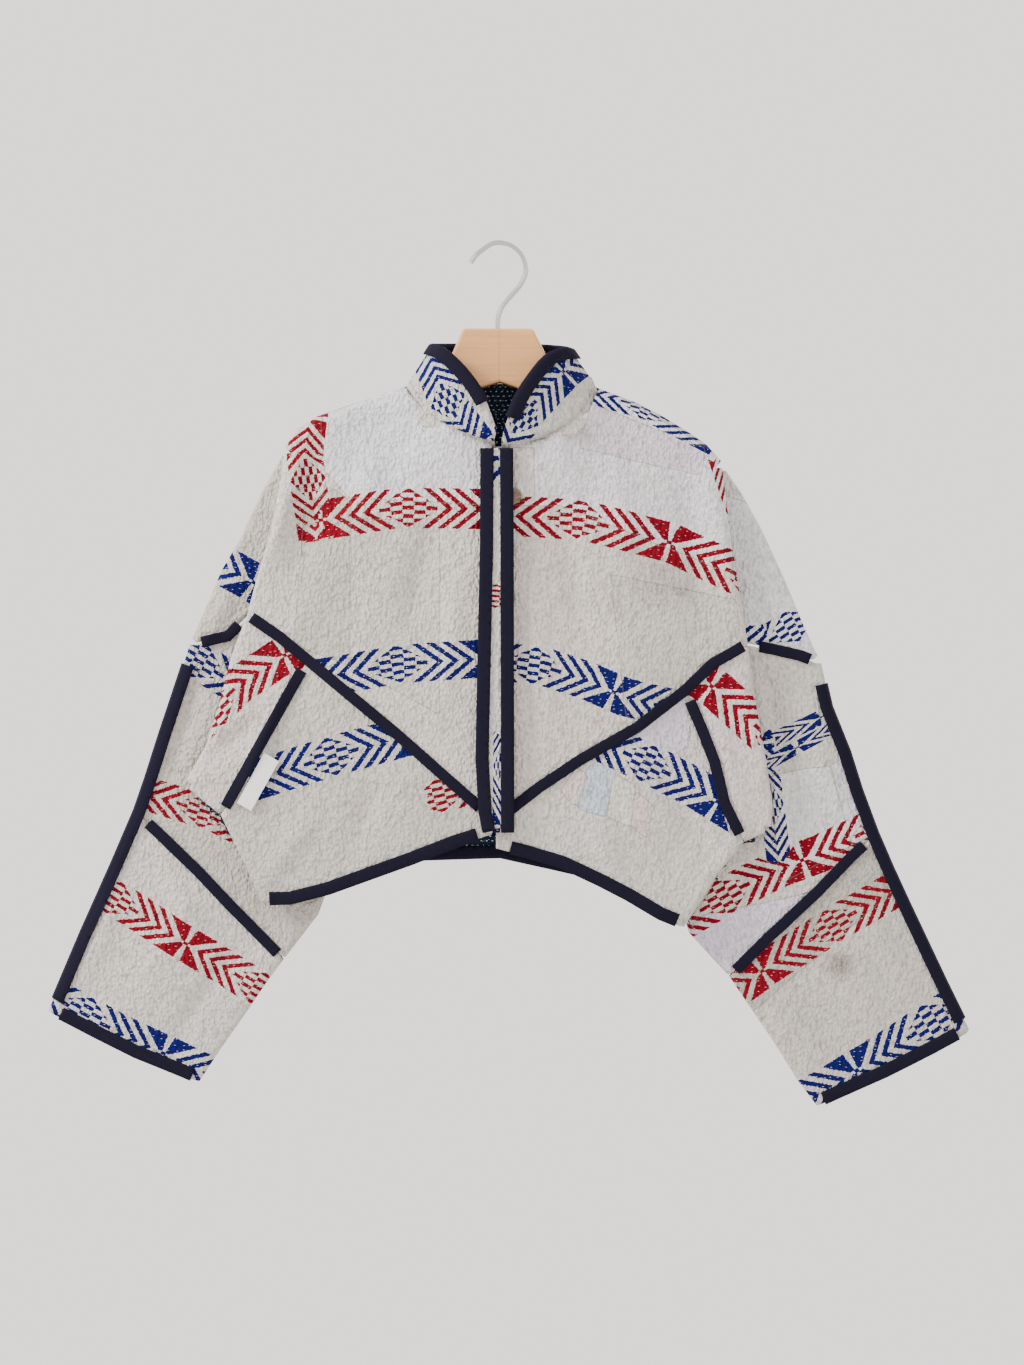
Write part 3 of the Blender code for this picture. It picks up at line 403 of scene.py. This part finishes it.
def band_ink(graph):
    """Mask and colour of the woven band: lozenge, chevrons, petals and centre."""
    band = graph.add("ShaderNodeAttribute", attribute_name="band", out=1)
    along, across, ink = (graph.add("ShaderNodeSeparateXYZ", {0: band}, out=index) for index in range(3))
    where = graph.place()
    ragged = graph.noise(where, 0.55, 1.0)
    along = graph.math("ADD", along, graph.sum(ragged, 3.2, -1.6))
    ragged = graph.noise(where, 0.72, 1.0)
    across = graph.math("ADD", across, graph.sum(ragged, 2.2, -1.1))
    reach = graph.math("PINGPONG", along, HALF_REPEAT)
    off = graph.math("ABSOLUTE", across)
    near = graph.math("ADD", graph.math("MULTIPLY", reach, LOZENGE_SLOPE), off)
    ring = graph.math("ADD", graph.math("MULTIPLY", reach, CHEVRON_SLOPE), off)
    column = graph.math("FLOOR", graph.sum(reach, 1 / CHECK_LENGTH, 0.5))
    row = graph.math("FLOOR", graph.sum(across, 1 / CHECK_HEIGHT, 0.5))
    turn = graph.math("FLOORED_MODULO", graph.math("ADD", column, row), 2.0)
    lozenge = graph.both(graph.below(turn, 0.5), graph.below(near, LOZENGE_REACH))
    line = graph.math("FRACT", graph.sum(ring, 1 / CHEVRON_PITCH, -CHEVRON_START / CHEVRON_PITCH))
    chevrons = graph.both(graph.below(line, 0.5), graph.above(ring, CHEVRON_START),
                          graph.below(ring, CHEVRON_END))
    short = graph.math("SUBTRACT", HALF_REPEAT, reach)
    gap = graph.sum(off, PETAL_SPLIT_SLOPE, PETAL_SPLIT)
    petals = graph.both(graph.above(ring, PETAL_START), graph.above(off, PETAL_GAP), graph.above(short, gap))
    centre = graph.both(graph.below(off, 2.0), graph.below(short, 2.6))
    mark = graph.either(lozenge, chevrons, petals, centre)
    mark = graph.both(mark, graph.below(off, BAND_EDGE), graph.above(ink, 0.5))
    worn = graph.noise(where, 0.9, 2.0, 0.7)
    worn = graph.math("MULTIPLY", graph.above(worn, 0.76), 0.3)
    mark = graph.math("MULTIPLY", mark, graph.math("SUBTRACT", 1.0, worn))
    # Madder red and indigo thread, fast colours woven into the band.
    colour = graph.mix(graph.above(ink, 1.5), linear("#7e0018"), linear("#060b5a"))
    return mark, colour


def reverse_colour(graph):
    """Teal cotton with rows of white running stitches."""
    axes = graph.place()
    run = graph.add("ShaderNodeSeparateXYZ", {0: axes}, out=0)
    rise = graph.add("ShaderNodeSeparateXYZ", {0: axes}, out=2)
    rows = graph.math("MULTIPLY", rise, 1 / REVERSE_ROW)
    line = graph.math("SUBTRACT", graph.math("FRACT", rows), 0.5)
    shift = graph.math("MULTIPLY", graph.math("FLOOR", rows), 0.37)
    step = graph.math("ADD", graph.math("MULTIPLY", run, 1 / REVERSE_STITCH), shift)
    step = graph.math("SUBTRACT", graph.math("FRACT", step), 0.5)
    narrow = graph.below(graph.math("ABSOLUTE", line), 0.1)
    short = graph.below(graph.math("ABSOLUTE", step), 0.14)
    return graph.mix(graph.both(narrow, short), linear("#16263a"), linear("#d8d5cf"))


def cloth(name, ground, patches):
    """Quilted cotton: patches over a ground, woven bands, puckers with painted shade in their hollows, and
    stitches; its reverse is teal.
    """
    graph = Graph(name)
    where = graph.place()
    drift = graph.noise(where, 0.012, 3.0)
    warmer = mixed(linear(ground), linear("#e6dad0"), 0.4)
    colour = graph.mix(graph.sum(drift, 1.6, -0.3), linear(ground), warmer)
    seams = 0.0
    for index, tint in enumerate(patches):
        edge = graph.add("ShaderNodeAttribute", attribute_name=f"patch_{index}", out=2)
        wander = graph.math("ADD", edge, graph.sum(graph.noise(where, 0.05, 1.0), 3.0, -1.5))
        colour = graph.mix(graph.above(wander, 0.0), colour, linear(tint))
        near = graph.below(graph.math("ABSOLUTE", wander), 0.5)
        seams = graph.math("MAXIMUM", near, seams)
    stain = graph.noise(where, 0.03, 4.0, 0.65)
    stain = graph.math("MULTIPLY", graph.sum(stain, 4.0, -2.4), 0.22)
    colour = graph.mix(graph.math("MAXIMUM", stain, 0.0), colour, linear("#b3a894"))
    for x, y, z, radius, strength in STAINS:
        gap = graph.add("ShaderNodeVectorMath", {0: where, 1: (x, y, z)}, out=1, operation="DISTANCE")
        spot = graph.math("MAXIMUM", graph.sum(gap, -1 / radius, 1.0), 0.0)
        spot = graph.both(spot, graph.noise(where, 0.2, 3.0), strength)
        colour = graph.mix(spot, colour, linear("#6d6455"))
    # Rows of running stitches pucker the cloth into small grains, in wavy rows.
    rows = graph.noise(graph.place((310, 310, 120)), 1.0, 2.0)
    grains = graph.add("ShaderNodeTexVoronoi", {"Vector": graph.place((330, 330, 260)), "Scale": 1.0,
                                                "Smoothness": 0.7}, feature="SMOOTH_F1")
    grains = graph.math("SUBTRACT", 1.0, grains)
    height = graph.math("ADD", graph.math("MULTIPLY", rows, 1.1), graph.math("MULTIPLY", grains, 0.75))
    height = graph.math("ADD", height, graph.math("MULTIPLY", graph.noise(where, 0.09, 2.0), 1.5))
    mark, ink = band_ink(graph)
    colour = graph.mix(mark, colour, ink)
    # Painted shade: the colour is darkened in the low parts of the puckers' grains and wavy rows, standing in
    # for the shade that falls in the quilting's hollows.
    painted_pucker_shade = graph.math("ADD", graph.sum(grains, 0.38, 0.34), graph.math("MULTIPLY", rows, 0.42))
    shade = graph.add("ShaderNodeCombineXYZ", {0: painted_pucker_shade, 1: painted_pucker_shade, 2: painted_pucker_shade})
    colour = graph.mix(1.0, colour, shade, "MULTIPLY")
    colour = graph.mix(graph.math("MULTIPLY", seams, 0.45), colour, linear("#5b5650"))
    back = reverse_colour(graph)
    reverse = graph.add("ShaderNodeAttribute", attribute_name="reverse", out=2)
    colour = graph.mix(graph.above(reverse, 0.5), colour, back)
    return graph.finish(colour, 0.86, height, 0.0026, Specular_IOR_Level=0.12)


def navy_tape():
    """Navy cotton bias tape: a fine slanting weave, a little uneven."""
    graph = Graph("navy_bias_tape")
    where = graph.place()
    run, rise = (graph.add("ShaderNodeSeparateXYZ", {0: where}, out=index) for index in (0, 2))
    slant = graph.math("SINE", graph.math("MULTIPLY", graph.math("ADD", run, rise), 5.2))
    soft = graph.noise(where, 0.08, 3.0)
    height = graph.math("ADD", graph.math("MULTIPLY", slant, 0.12), graph.math("MULTIPLY", soft, 1.4))
    fine = graph.noise(where, 1.4, 2.0)
    colour = graph.mix(graph.sum(fine, 1.2, -0.1), linear("#070614"), linear("#100d24"))
    return graph.finish(colour, 0.85, height, 0.0006, Specular_IOR_Level=0.15)


def beech():
    """Pale varnished beech: long wavy grain, short dark flecks and one glue line at the middle."""
    graph = Graph("varnished_beech")
    grain = graph.noise(graph.place((6, 120, 160)), 1.0, 4.0, 0.6)
    colour = graph.mix(graph.sum(grain, 2.2, -0.6), linear("#dfa468"), linear("#c58a50"))
    fleck = graph.above(graph.noise(graph.place((220, 900, 1500)), 1.0, 1.0), 0.68)
    colour = graph.mix(graph.math("MULTIPLY", fleck, 0.25), colour, linear("#8f5a2c"))
    run = graph.add("ShaderNodeSeparateXYZ", {0: graph.place()}, out=0)
    joint = graph.below(graph.math("ABSOLUTE", graph.math("ADD", run, 1.0)), 0.3)
    colour = graph.mix(graph.math("MULTIPLY", joint, 0.6), colour, linear("#8d5c33"))
    return graph.finish(colour, 0.38, grain, 0.0002, Coat_Weight=0.3)


def bright_steel():
    """Polished steel wire, with faint drawing lines."""
    graph = Graph("bright_steel_wire")
    fine = graph.noise(graph.place((300, 300, 2200)), 1.0, 2.0)
    return graph.finish(linear("#b4b4b8"), graph.sum(fine, 0.16, 0.16), fine, 0.00003, Metallic=1.0)


def horn():
    """Brown horn button, streaked and polished."""
    graph = Graph("brown_horn")
    streak = graph.noise(graph.place((90, 90, 420)), 1.0, 3.0)
    colour = graph.mix(graph.sum(streak, 2.4, -0.7), linear("#3a2b22"), linear("#8a7054"))
    return graph.finish(colour, 0.3, streak, 0.0001)


def plain_cotton():
    """White cotton tab, plain weave."""
    graph = Graph("white_plain_cotton")
    where = graph.place()
    run, rise = (graph.add("ShaderNodeSeparateXYZ", {0: where}, out=index) for index in (0, 2))
    warp = graph.math("SINE", graph.math("MULTIPLY", run, 9))
    weft = graph.math("SINE", graph.math("MULTIPLY", rise, 9))
    weave = graph.math("MULTIPLY", warp, weft)
    colour = graph.mix(graph.noise(where, 0.3, 2.0), linear("#e9e7e3"), linear("#f6f5f2"))
    return graph.finish(colour, 0.85, weave, 0.0001)


def pale_floor():
    graph = Graph("pale_floor")
    soft = graph.noise(graph.place((1, 1, 1)), 0.01, 2.0)
    colour = graph.mix(soft, linear("#dedad6"), linear("#e6e2de"))
    return graph.finish(colour, 0.9)


def edge_distance(x, z, outline):
    """Signed distance to an outline, in millimetres, positive inside."""
    gap = 1e9
    for (x0, z0), (x1, z1) in zip(outline, outline[1:] + outline[:1]):
        dx, dz = x1 - x0, z1 - z0
        part = min(1.0, max(0.0, ((x - x0) * dx + (z - z0) * dz) / (dx * dx + dz * dz)))
        gap = min(gap, math.hypot(x - x0 - part * dx, z - z0 - part * dz))
    return gap if inside(x, z, outline) else -gap


def mark_bands(mesh, node):
    """Gives each corner its place on the nearest woven band."""
    bands = [band for band in BANDS if band[0] == node]
    layer = mesh.attributes.new("band", "FLOAT_VECTOR", "CORNER")
    for face in mesh.polygons:
        x, z = face.center.x / MM, face.center.z / MM
        nearest = None
        for band in bands:
            along, off, total = place_on(band[5], x, z)
            if abs(off) < band[4] + BAND_REACH and -BAND_OVERRUN < along < total + BAND_OVERRUN:
                if nearest is None or abs(off) < nearest[0]:
                    nearest = (abs(off), band)
        if nearest is None:
            continue
        _, ink, half, start, height, line = nearest[1]
        for corner in face.loop_indices:
            point = mesh.vertices[mesh.loops[corner].vertex_index].co
            along, off, _ = place_on(line, point.x / MM, point.z / MM)
            place = (along - start) * HALF_REPEAT / half
            layer.data[corner].vector = (place, off * HALF_HEIGHT / height, ink)


def mark_patches(mesh, patches):
    for index, (_, _, outline) in enumerate(patches):
        layer = mesh.attributes.new(f"patch_{index}", "FLOAT", "POINT")
        values = [edge_distance(vert.co.x / MM, vert.co.z / MM, outline) for vert in mesh.vertices]
        layer.data.foreach_set("value", values)


def mark_reverse(mesh, node, shell):
    """Marks the faces that look into the jacket."""
    layer = mesh.attributes.new("reverse", "FLOAT", "FACE")
    for face in mesh.polygons:
        normal, centre = face.normal, face.center
        if node.startswith(("front", "placket", "underarm")):
            hidden = normal.y > 0.3
        elif node == "back":
            hidden = normal.y < -0.3
        elif node == "collar":
            hidden = normal.x * centre.x + normal.y * (centre.y + 0.005) < 0
        else:
            rise = crease_rise(centre.x / MM, centre.z / MM) * MM
            flat = centre + Vector((0, rise, 0))
            hit = shell.ray_cast(flat + normal * RAY_START, normal, RAY_REACH)
            hidden = hit[0] is not None
        turned = any(abs(place_on(fold, centre.x / MM, centre.z / MM)[1]) < FOLD_REACH for fold in SIDE_FOLDS)
        layer.data[face.index].value = float(hidden and not turned)


def stitch_nodes():
    """Rows of running stitches laid on a cloth by rays from one side."""
    tree = bpy.data.node_groups.new("Running stitches", "GeometryNodeTree")
    sockets = (("Cloth", "NodeSocketObject"), ("Stitch", "NodeSocketObject"), ("Columns", "NodeSocketInt"),
               ("Rows", "NodeSocketInt"), ("Width", "NodeSocketFloat"), ("Height", "NodeSocketFloat"),
               ("Centre", "NodeSocketVector"), ("Direction", "NodeSocketVector"),
               ("Wander", "NodeSocketFloat"),
               ("Seed", "NodeSocketInt"), ("Thread", "NodeSocketMaterial"))
    for name, kind in sockets:
        tree.interface.new_socket(name, in_out="INPUT", socket_type=kind)
    tree.interface.new_socket("Geometry", in_out="OUTPUT", socket_type="NodeSocketGeometry")
    given = tree.nodes.new("NodeGroupInput").outputs
    result = tree.nodes.new("NodeGroupOutput").inputs["Geometry"]

    def add(kind, values=(), **settings):
        node = tree.nodes.new(kind)
        for key, value in settings.items():
            setattr(node, key, value)
        for place, value in dict(values).items():
            if isinstance(value, bpy.types.NodeSocket):
                tree.links.new(value, node.inputs[place])
            else:
                node.inputs[place].default_value = value
        return node.outputs

    grid = add("GeometryNodeMeshGrid", {"Size X": given["Width"], "Size Y": given["Height"],
                                        "Vertices X": given["Columns"], "Vertices Y": given["Rows"]})
    shift = add("FunctionNodeRandomValue", {0: (-1, -1, 0), 1: (1, 1, 0), "Seed": given["Seed"]},
                data_type="FLOAT_VECTOR")
    shift = add("ShaderNodeVectorMath", {0: shift[0], "Scale": given["Wander"]}, operation="SCALE")
    points = add("GeometryNodeSetPosition", {"Geometry": grid[0], "Offset": shift[0]})
    points = add("GeometryNodeTransform", {"Geometry": points[0], "Translation": given["Centre"],
                                           "Rotation": (math.pi / 2, 0, 0)})
    points = add("GeometryNodeMeshToPoints", {"Mesh": points[0]})
    cover = add("GeometryNodeObjectInfo", {"Object": given["Cloth"]})
    ray = add("GeometryNodeRaycast", {"Target Geometry": cover["Geometry"],
                                      "Ray Direction": given["Direction"],
                                      "Ray Length": 0.4})
    # The surface's direction is kept before the points move onto it.
    kept = add("GeometryNodeStoreNamedAttribute", {"Geometry": points[0], "Name": "facing",
                                                   "Value": ray["Hit Normal"]}, data_type="FLOAT_VECTOR")
    missed = add("FunctionNodeBooleanMath", {0: ray["Is Hit"]}, operation="NOT")
    hit = add("GeometryNodeDeleteGeometry", {"Geometry": kept[0], "Selection": missed[0]})
    moved = add("GeometryNodeSetPosition", {"Geometry": hit[0], "Position": ray["Hit Position"]})
    facing = add("GeometryNodeInputNamedAttribute", {"Name": "facing"}, data_type="FLOAT_VECTOR")
    turned = add("FunctionNodeAlignRotationToVector", {"Vector": facing[0]}, axis="Z")
    stitch = add("GeometryNodeObjectInfo", {"Object": given["Stitch"]})
    sewn = add("GeometryNodeInstanceOnPoints", {"Points": moved[0], "Instance": stitch["Geometry"],
                                                "Rotation": turned[0]})
    solid = add("GeometryNodeRealizeInstances", {"Geometry": sewn[0]})
    dyed = add("GeometryNodeSetMaterial", {"Geometry": solid[0], "Material": given["Thread"]})
    tree.links.new(dyed[0], result)
    return tree


def plain_mesh(piece, name):
    """The piece's shape with its modifiers done, as an object with none."""
    ready = piece.evaluated_get(bpy.context.evaluated_depsgraph_get())
    mesh = bpy.data.meshes.new_from_object(ready)
    bpy.data.objects.remove(piece)
    result = bpy.data.objects.new(name, mesh)
    bpy.context.collection.objects.link(result)
    return result


def linked(name, verts, faces):
    mesh = bpy.data.meshes.new(name)
    mesh.from_pydata(verts, [], faces)
    piece = bpy.data.objects.new(name, mesh)
    bpy.context.collection.objects.link(piece)
    return piece


def thread():
    """White cotton thread, softly twisted."""
    graph = Graph("white_cotton_thread")
    twist = graph.noise(graph.place((1400, 1400, 1400)), 1.0, 1.0)
    colour = graph.mix(twist, linear("#b9b4ac"), linear("#d0cbc3"))
    return graph.finish(colour, 0.8, twist, 0.0001)


def add_stitches(name, cover, direction, centre, props):
    """One side's running stitches, in rows."""
    tree = stitch_nodes()
    long, wide, high = props.stitch_length / 2, STITCH_HALF_WIDTH, STITCH_RISE
    stitch = linked("stitch_shape", [(long, 0, 0), (-long, 0, 0), (0, wide, 0), (0, -wide, 0), (0, 0, high)],
                    [(0, 2, 4), (2, 1, 4), (1, 3, 4), (3, 0, 4)])
    carrier = linked(name, [], [])
    modifier = carrier.modifiers.new("Running stitches", "NODES")
    modifier.node_group = tree
    values = {"Cloth": cover, "Stitch": stitch, "Columns": int(FIELD_WIDTH / props.stitch_pitch),
              "Rows": int(FIELD_HEIGHT / props.row_pitch), "Width": FIELD_WIDTH, "Height": FIELD_HEIGHT,
              "Centre": centre, "Direction": direction, "Wander": STITCH_WANDER, "Seed": 7, "Thread": thread()}
    for item in tree.interface.items_tree:
        if item.in_out == "INPUT":
            modifier[item.identifier] = values[item.name]
    result = plain_mesh(carrier, name)
    bpy.data.objects.remove(stitch)
    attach(result, "root")
    return result


def outer_shell(nodes):
    """A search tree over the given CAD nodes, to find what faces the inside."""
    work = bmesh.new()
    for node in nodes:
        work.from_mesh(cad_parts[node].data)
    tree = BVHTree.FromBMesh(work)
    work.free()
    return tree


def seam_turning():
    """The collar's turned-in edge, which fills the seam round the neck."""
    verts = []
    for x, y, z in NECK_SEAM:
        size = math.hypot(x, y)
        side = min(1.0, max(0.0, (abs(x) - SEAM_SIDE_START) / SEAM_SIDE_REACH))
        for inward, up in SEAM_SECTION:
            if up < 0:
                inward -= SEAM_SIDE_OUT * side
                up -= SEAM_SIDE_DROP * side
            part = 1 - inward / size
            verts.append((x * part * MM, y * part * MM, (z + up) * MM))
    count = len(SEAM_SECTION)
    faces = [list(range(count))[::-1], [len(verts) - count + index for index in range(count)]]
    for row in range(len(NECK_SEAM) - 1):
        for index in range(count):
            after = (index + 1) % count
            faces.append((row * count + index, row * count + after, (row + 1) * count + after,
                          (row + 1) * count + index))
    piece = linked("neck_seam_turning", verts, faces)
    piece.data.materials.append(cloth("quilted_cotton_seam", "#c9c4bd", []))
    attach(piece, "root")
    return piece


class JacketSettings(bpy.types.PropertyGroup):
    cloth_step: bpy.props.FloatProperty(name="Cloth step", description="Longest edge of the fine cloth",
                                        default=0.008, min=0.003, subtype="DISTANCE", unit="LENGTH")
    tape_step: bpy.props.FloatProperty(name="Tape step", description="Longest edge of the fine tape",
                                       default=0.006, min=0.003, subtype="DISTANCE", unit="LENGTH")
    stitch_length: bpy.props.FloatProperty(name="Stitch length", description="Length of a running stitch",
                                           default=0.0026, min=0.001, subtype="DISTANCE", unit="LENGTH")
    stitch_pitch: bpy.props.FloatProperty(name="Stitch pitch", description="Gap between stitches in a row",
                                          default=0.0072, min=0.003, subtype="DISTANCE", unit="LENGTH")
    row_pitch: bpy.props.FloatProperty(name="Row pitch", description="Gap between rows of stitches",
                                       default=0.0052, min=0.002, subtype="DISTANCE", unit="LENGTH")


class JACKET_OT_tapes(bpy.types.Operator):
    """Covers every edge and seam with navy bias tape."""
    bl_idname = "jacket.tapes"
    bl_label = "Bias tapes"

    def execute(self, context):
        props = context.scene.jacket_settings
        nodes = [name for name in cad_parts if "binding" in name]
        piece = fine_mesh("tapes", nodes, props.tape_step, TAPE_SMOOTHING)
        piece.data.shade_smooth()
        piece.data.materials.append(navy_tape())
        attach(piece, "root")
        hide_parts(*nodes)
        return {"FINISHED"}


class JACKET_OT_panels(bpy.types.Operator):
    """Lays the quilted panels, with their patches, bands and creases."""
    bl_idname = "jacket.panels"
    bl_label = "Quilted panels"

    def execute(self, context):
        props = context.scene.jacket_settings
        shell = outer_shell(PANELS)
        joined = {"back": bpy.data.objects["tapes"], "collar": seam_turning()}
        for node, (width, length, area, ground) in PANELS.items():
            piece = fine_mesh("cloth_" + node, [node], props.cloth_step, CLOTH_SMOOTHING)
            patches = [patch for patch in PATCHES if patch[0] == node]
            mark_bands(piece.data, node)
            mark_patches(piece.data, patches)
            mark_reverse(piece.data, node, shell)
            piece.data.shade_smooth()
            tints = [patch[1] for patch in patches]
            piece.data.materials.append(cloth("quilted_cotton_" + node, ground, tints))
            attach(piece, "root")
            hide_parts(node)
        return {"FINISHED"}


class JACKET_OT_stitches(bpy.types.Operator):
    """Sews the rows of running stitches on the front and the back."""
    bl_idname = "jacket.stitches"
    bl_label = "Running stitches"

    def execute(self, context):
        props = context.scene.jacket_settings
        work = bmesh.new()
        for node in PANELS:
            work.from_mesh(bpy.data.objects["cloth_" + node].data)
        mesh = bpy.data.meshes.new("cover")
        work.to_mesh(mesh)
        work.free()
        cover = bpy.data.objects.new("cover", mesh)
        context.collection.objects.link(cover)
        add_stitches("stitches_front", cover, (0, 1, 0), (0, -FIELD_AWAY, FIELD_Z), props)
        add_stitches("stitches_back", cover, (0, -1, 0), (0, FIELD_AWAY, FIELD_Z), props)
        bpy.data.objects.remove(cover)
        return {"FINISHED"}


class JACKET_OT_fittings(bpy.types.Operator):
    """Finishes the hanger, hook, button and bare tab."""
    bl_idname = "jacket.fittings"
    bl_label = "Hanger and fittings"

    def execute(self, context):
        finishes = {"hanger_wood": beech(), "hanger_hook": bright_steel(), "button": horn(),
                    "label_blank": plain_cotton()}
        for node, material in finishes.items():
            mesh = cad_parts[node].data
            mesh.materials.clear()
            mesh.materials.append(material)
        return {"FINISHED"}


class JACKET_OT_stage(bpy.types.Operator):
    """Sets the pale floor, the studio light and the camera."""
    bl_idname = "jacket.stage"
    bl_label = "Stage"

    def execute(self, context):
        corners = [(-FLOOR_SIDE, -FLOOR_FRONT, FLOOR_Z), (FLOOR_SIDE, -FLOOR_FRONT, FLOOR_Z),
                   (FLOOR_SIDE, FLOOR_BACK, FLOOR_Z), (-FLOOR_SIDE, FLOOR_BACK, FLOOR_Z)]
        floor = linked("pale_floor", corners, [(0, 1, 2, 3)])
        floor.data.materials.append(pale_floor())
        for name, place, size, power in LIGHTS:
            lamp = bpy.data.lights.new(name, "AREA")
            lamp.energy = power
            lamp.size = size
            lamp.color = LAMP_COLOUR
            item = bpy.data.objects.new(name, lamp)
            item.location = place
            item.rotation_euler = (AIM - Vector(place)).to_track_quat("-Z", "Y").to_euler()
            context.collection.objects.link(item)
        world = bpy.data.worlds.new("pale_room")
        world.use_nodes = True
        room = world.node_tree.nodes["Background"].inputs
        room["Color"].default_value = linear(ROOM_COLOUR)
        room["Strength"].default_value = ROOM_STRENGTH
        context.scene.world = world
        lens = bpy.data.cameras.new("camera")
        lens.sensor_fit = "VERTICAL"
        lens.sensor_height = CAMERA_SENSOR
        lens.lens = CAMERA_LENS
        camera = bpy.data.objects.new("camera", lens)
        camera.location = CAMERA_PLACE
        camera.rotation_euler = (math.pi / 2, 0, 0)
        context.collection.objects.link(camera)
        context.scene.camera = camera
        return {"FINISHED"}


class JACKET_PT_panel(bpy.types.Panel):
    bl_label = "Patchwork jacket"
    bl_space_type = "VIEW_3D"
    bl_region_type = "UI"
    bl_category = "Jacket"

    def draw(self, context):
        for name in JacketSettings.__annotations__:
            self.layout.prop(context.scene.jacket_settings, name)
        for kind in OPERATORS:
            self.layout.operator(kind.bl_idname)


OPERATORS = (JACKET_OT_tapes, JACKET_OT_panels, JACKET_OT_stitches, JACKET_OT_fittings, JACKET_OT_stage)
CLASSES = (JacketSettings, *OPERATORS, JACKET_PT_panel)


def register():
    for kind in CLASSES:
        bpy.utils.register_class(kind)
    bpy.types.Scene.jacket_settings = bpy.props.PointerProperty(type=JacketSettings)


def unregister():
    del bpy.types.Scene.jacket_settings
    for kind in reversed(CLASSES):
        bpy.utils.unregister_class(kind)


def main():
    register()
    for name in ("tapes", "panels", "stitches", "fittings", "stage"):
        getattr(bpy.ops.jacket, name)()


if __name__ == "__main__":
    main()
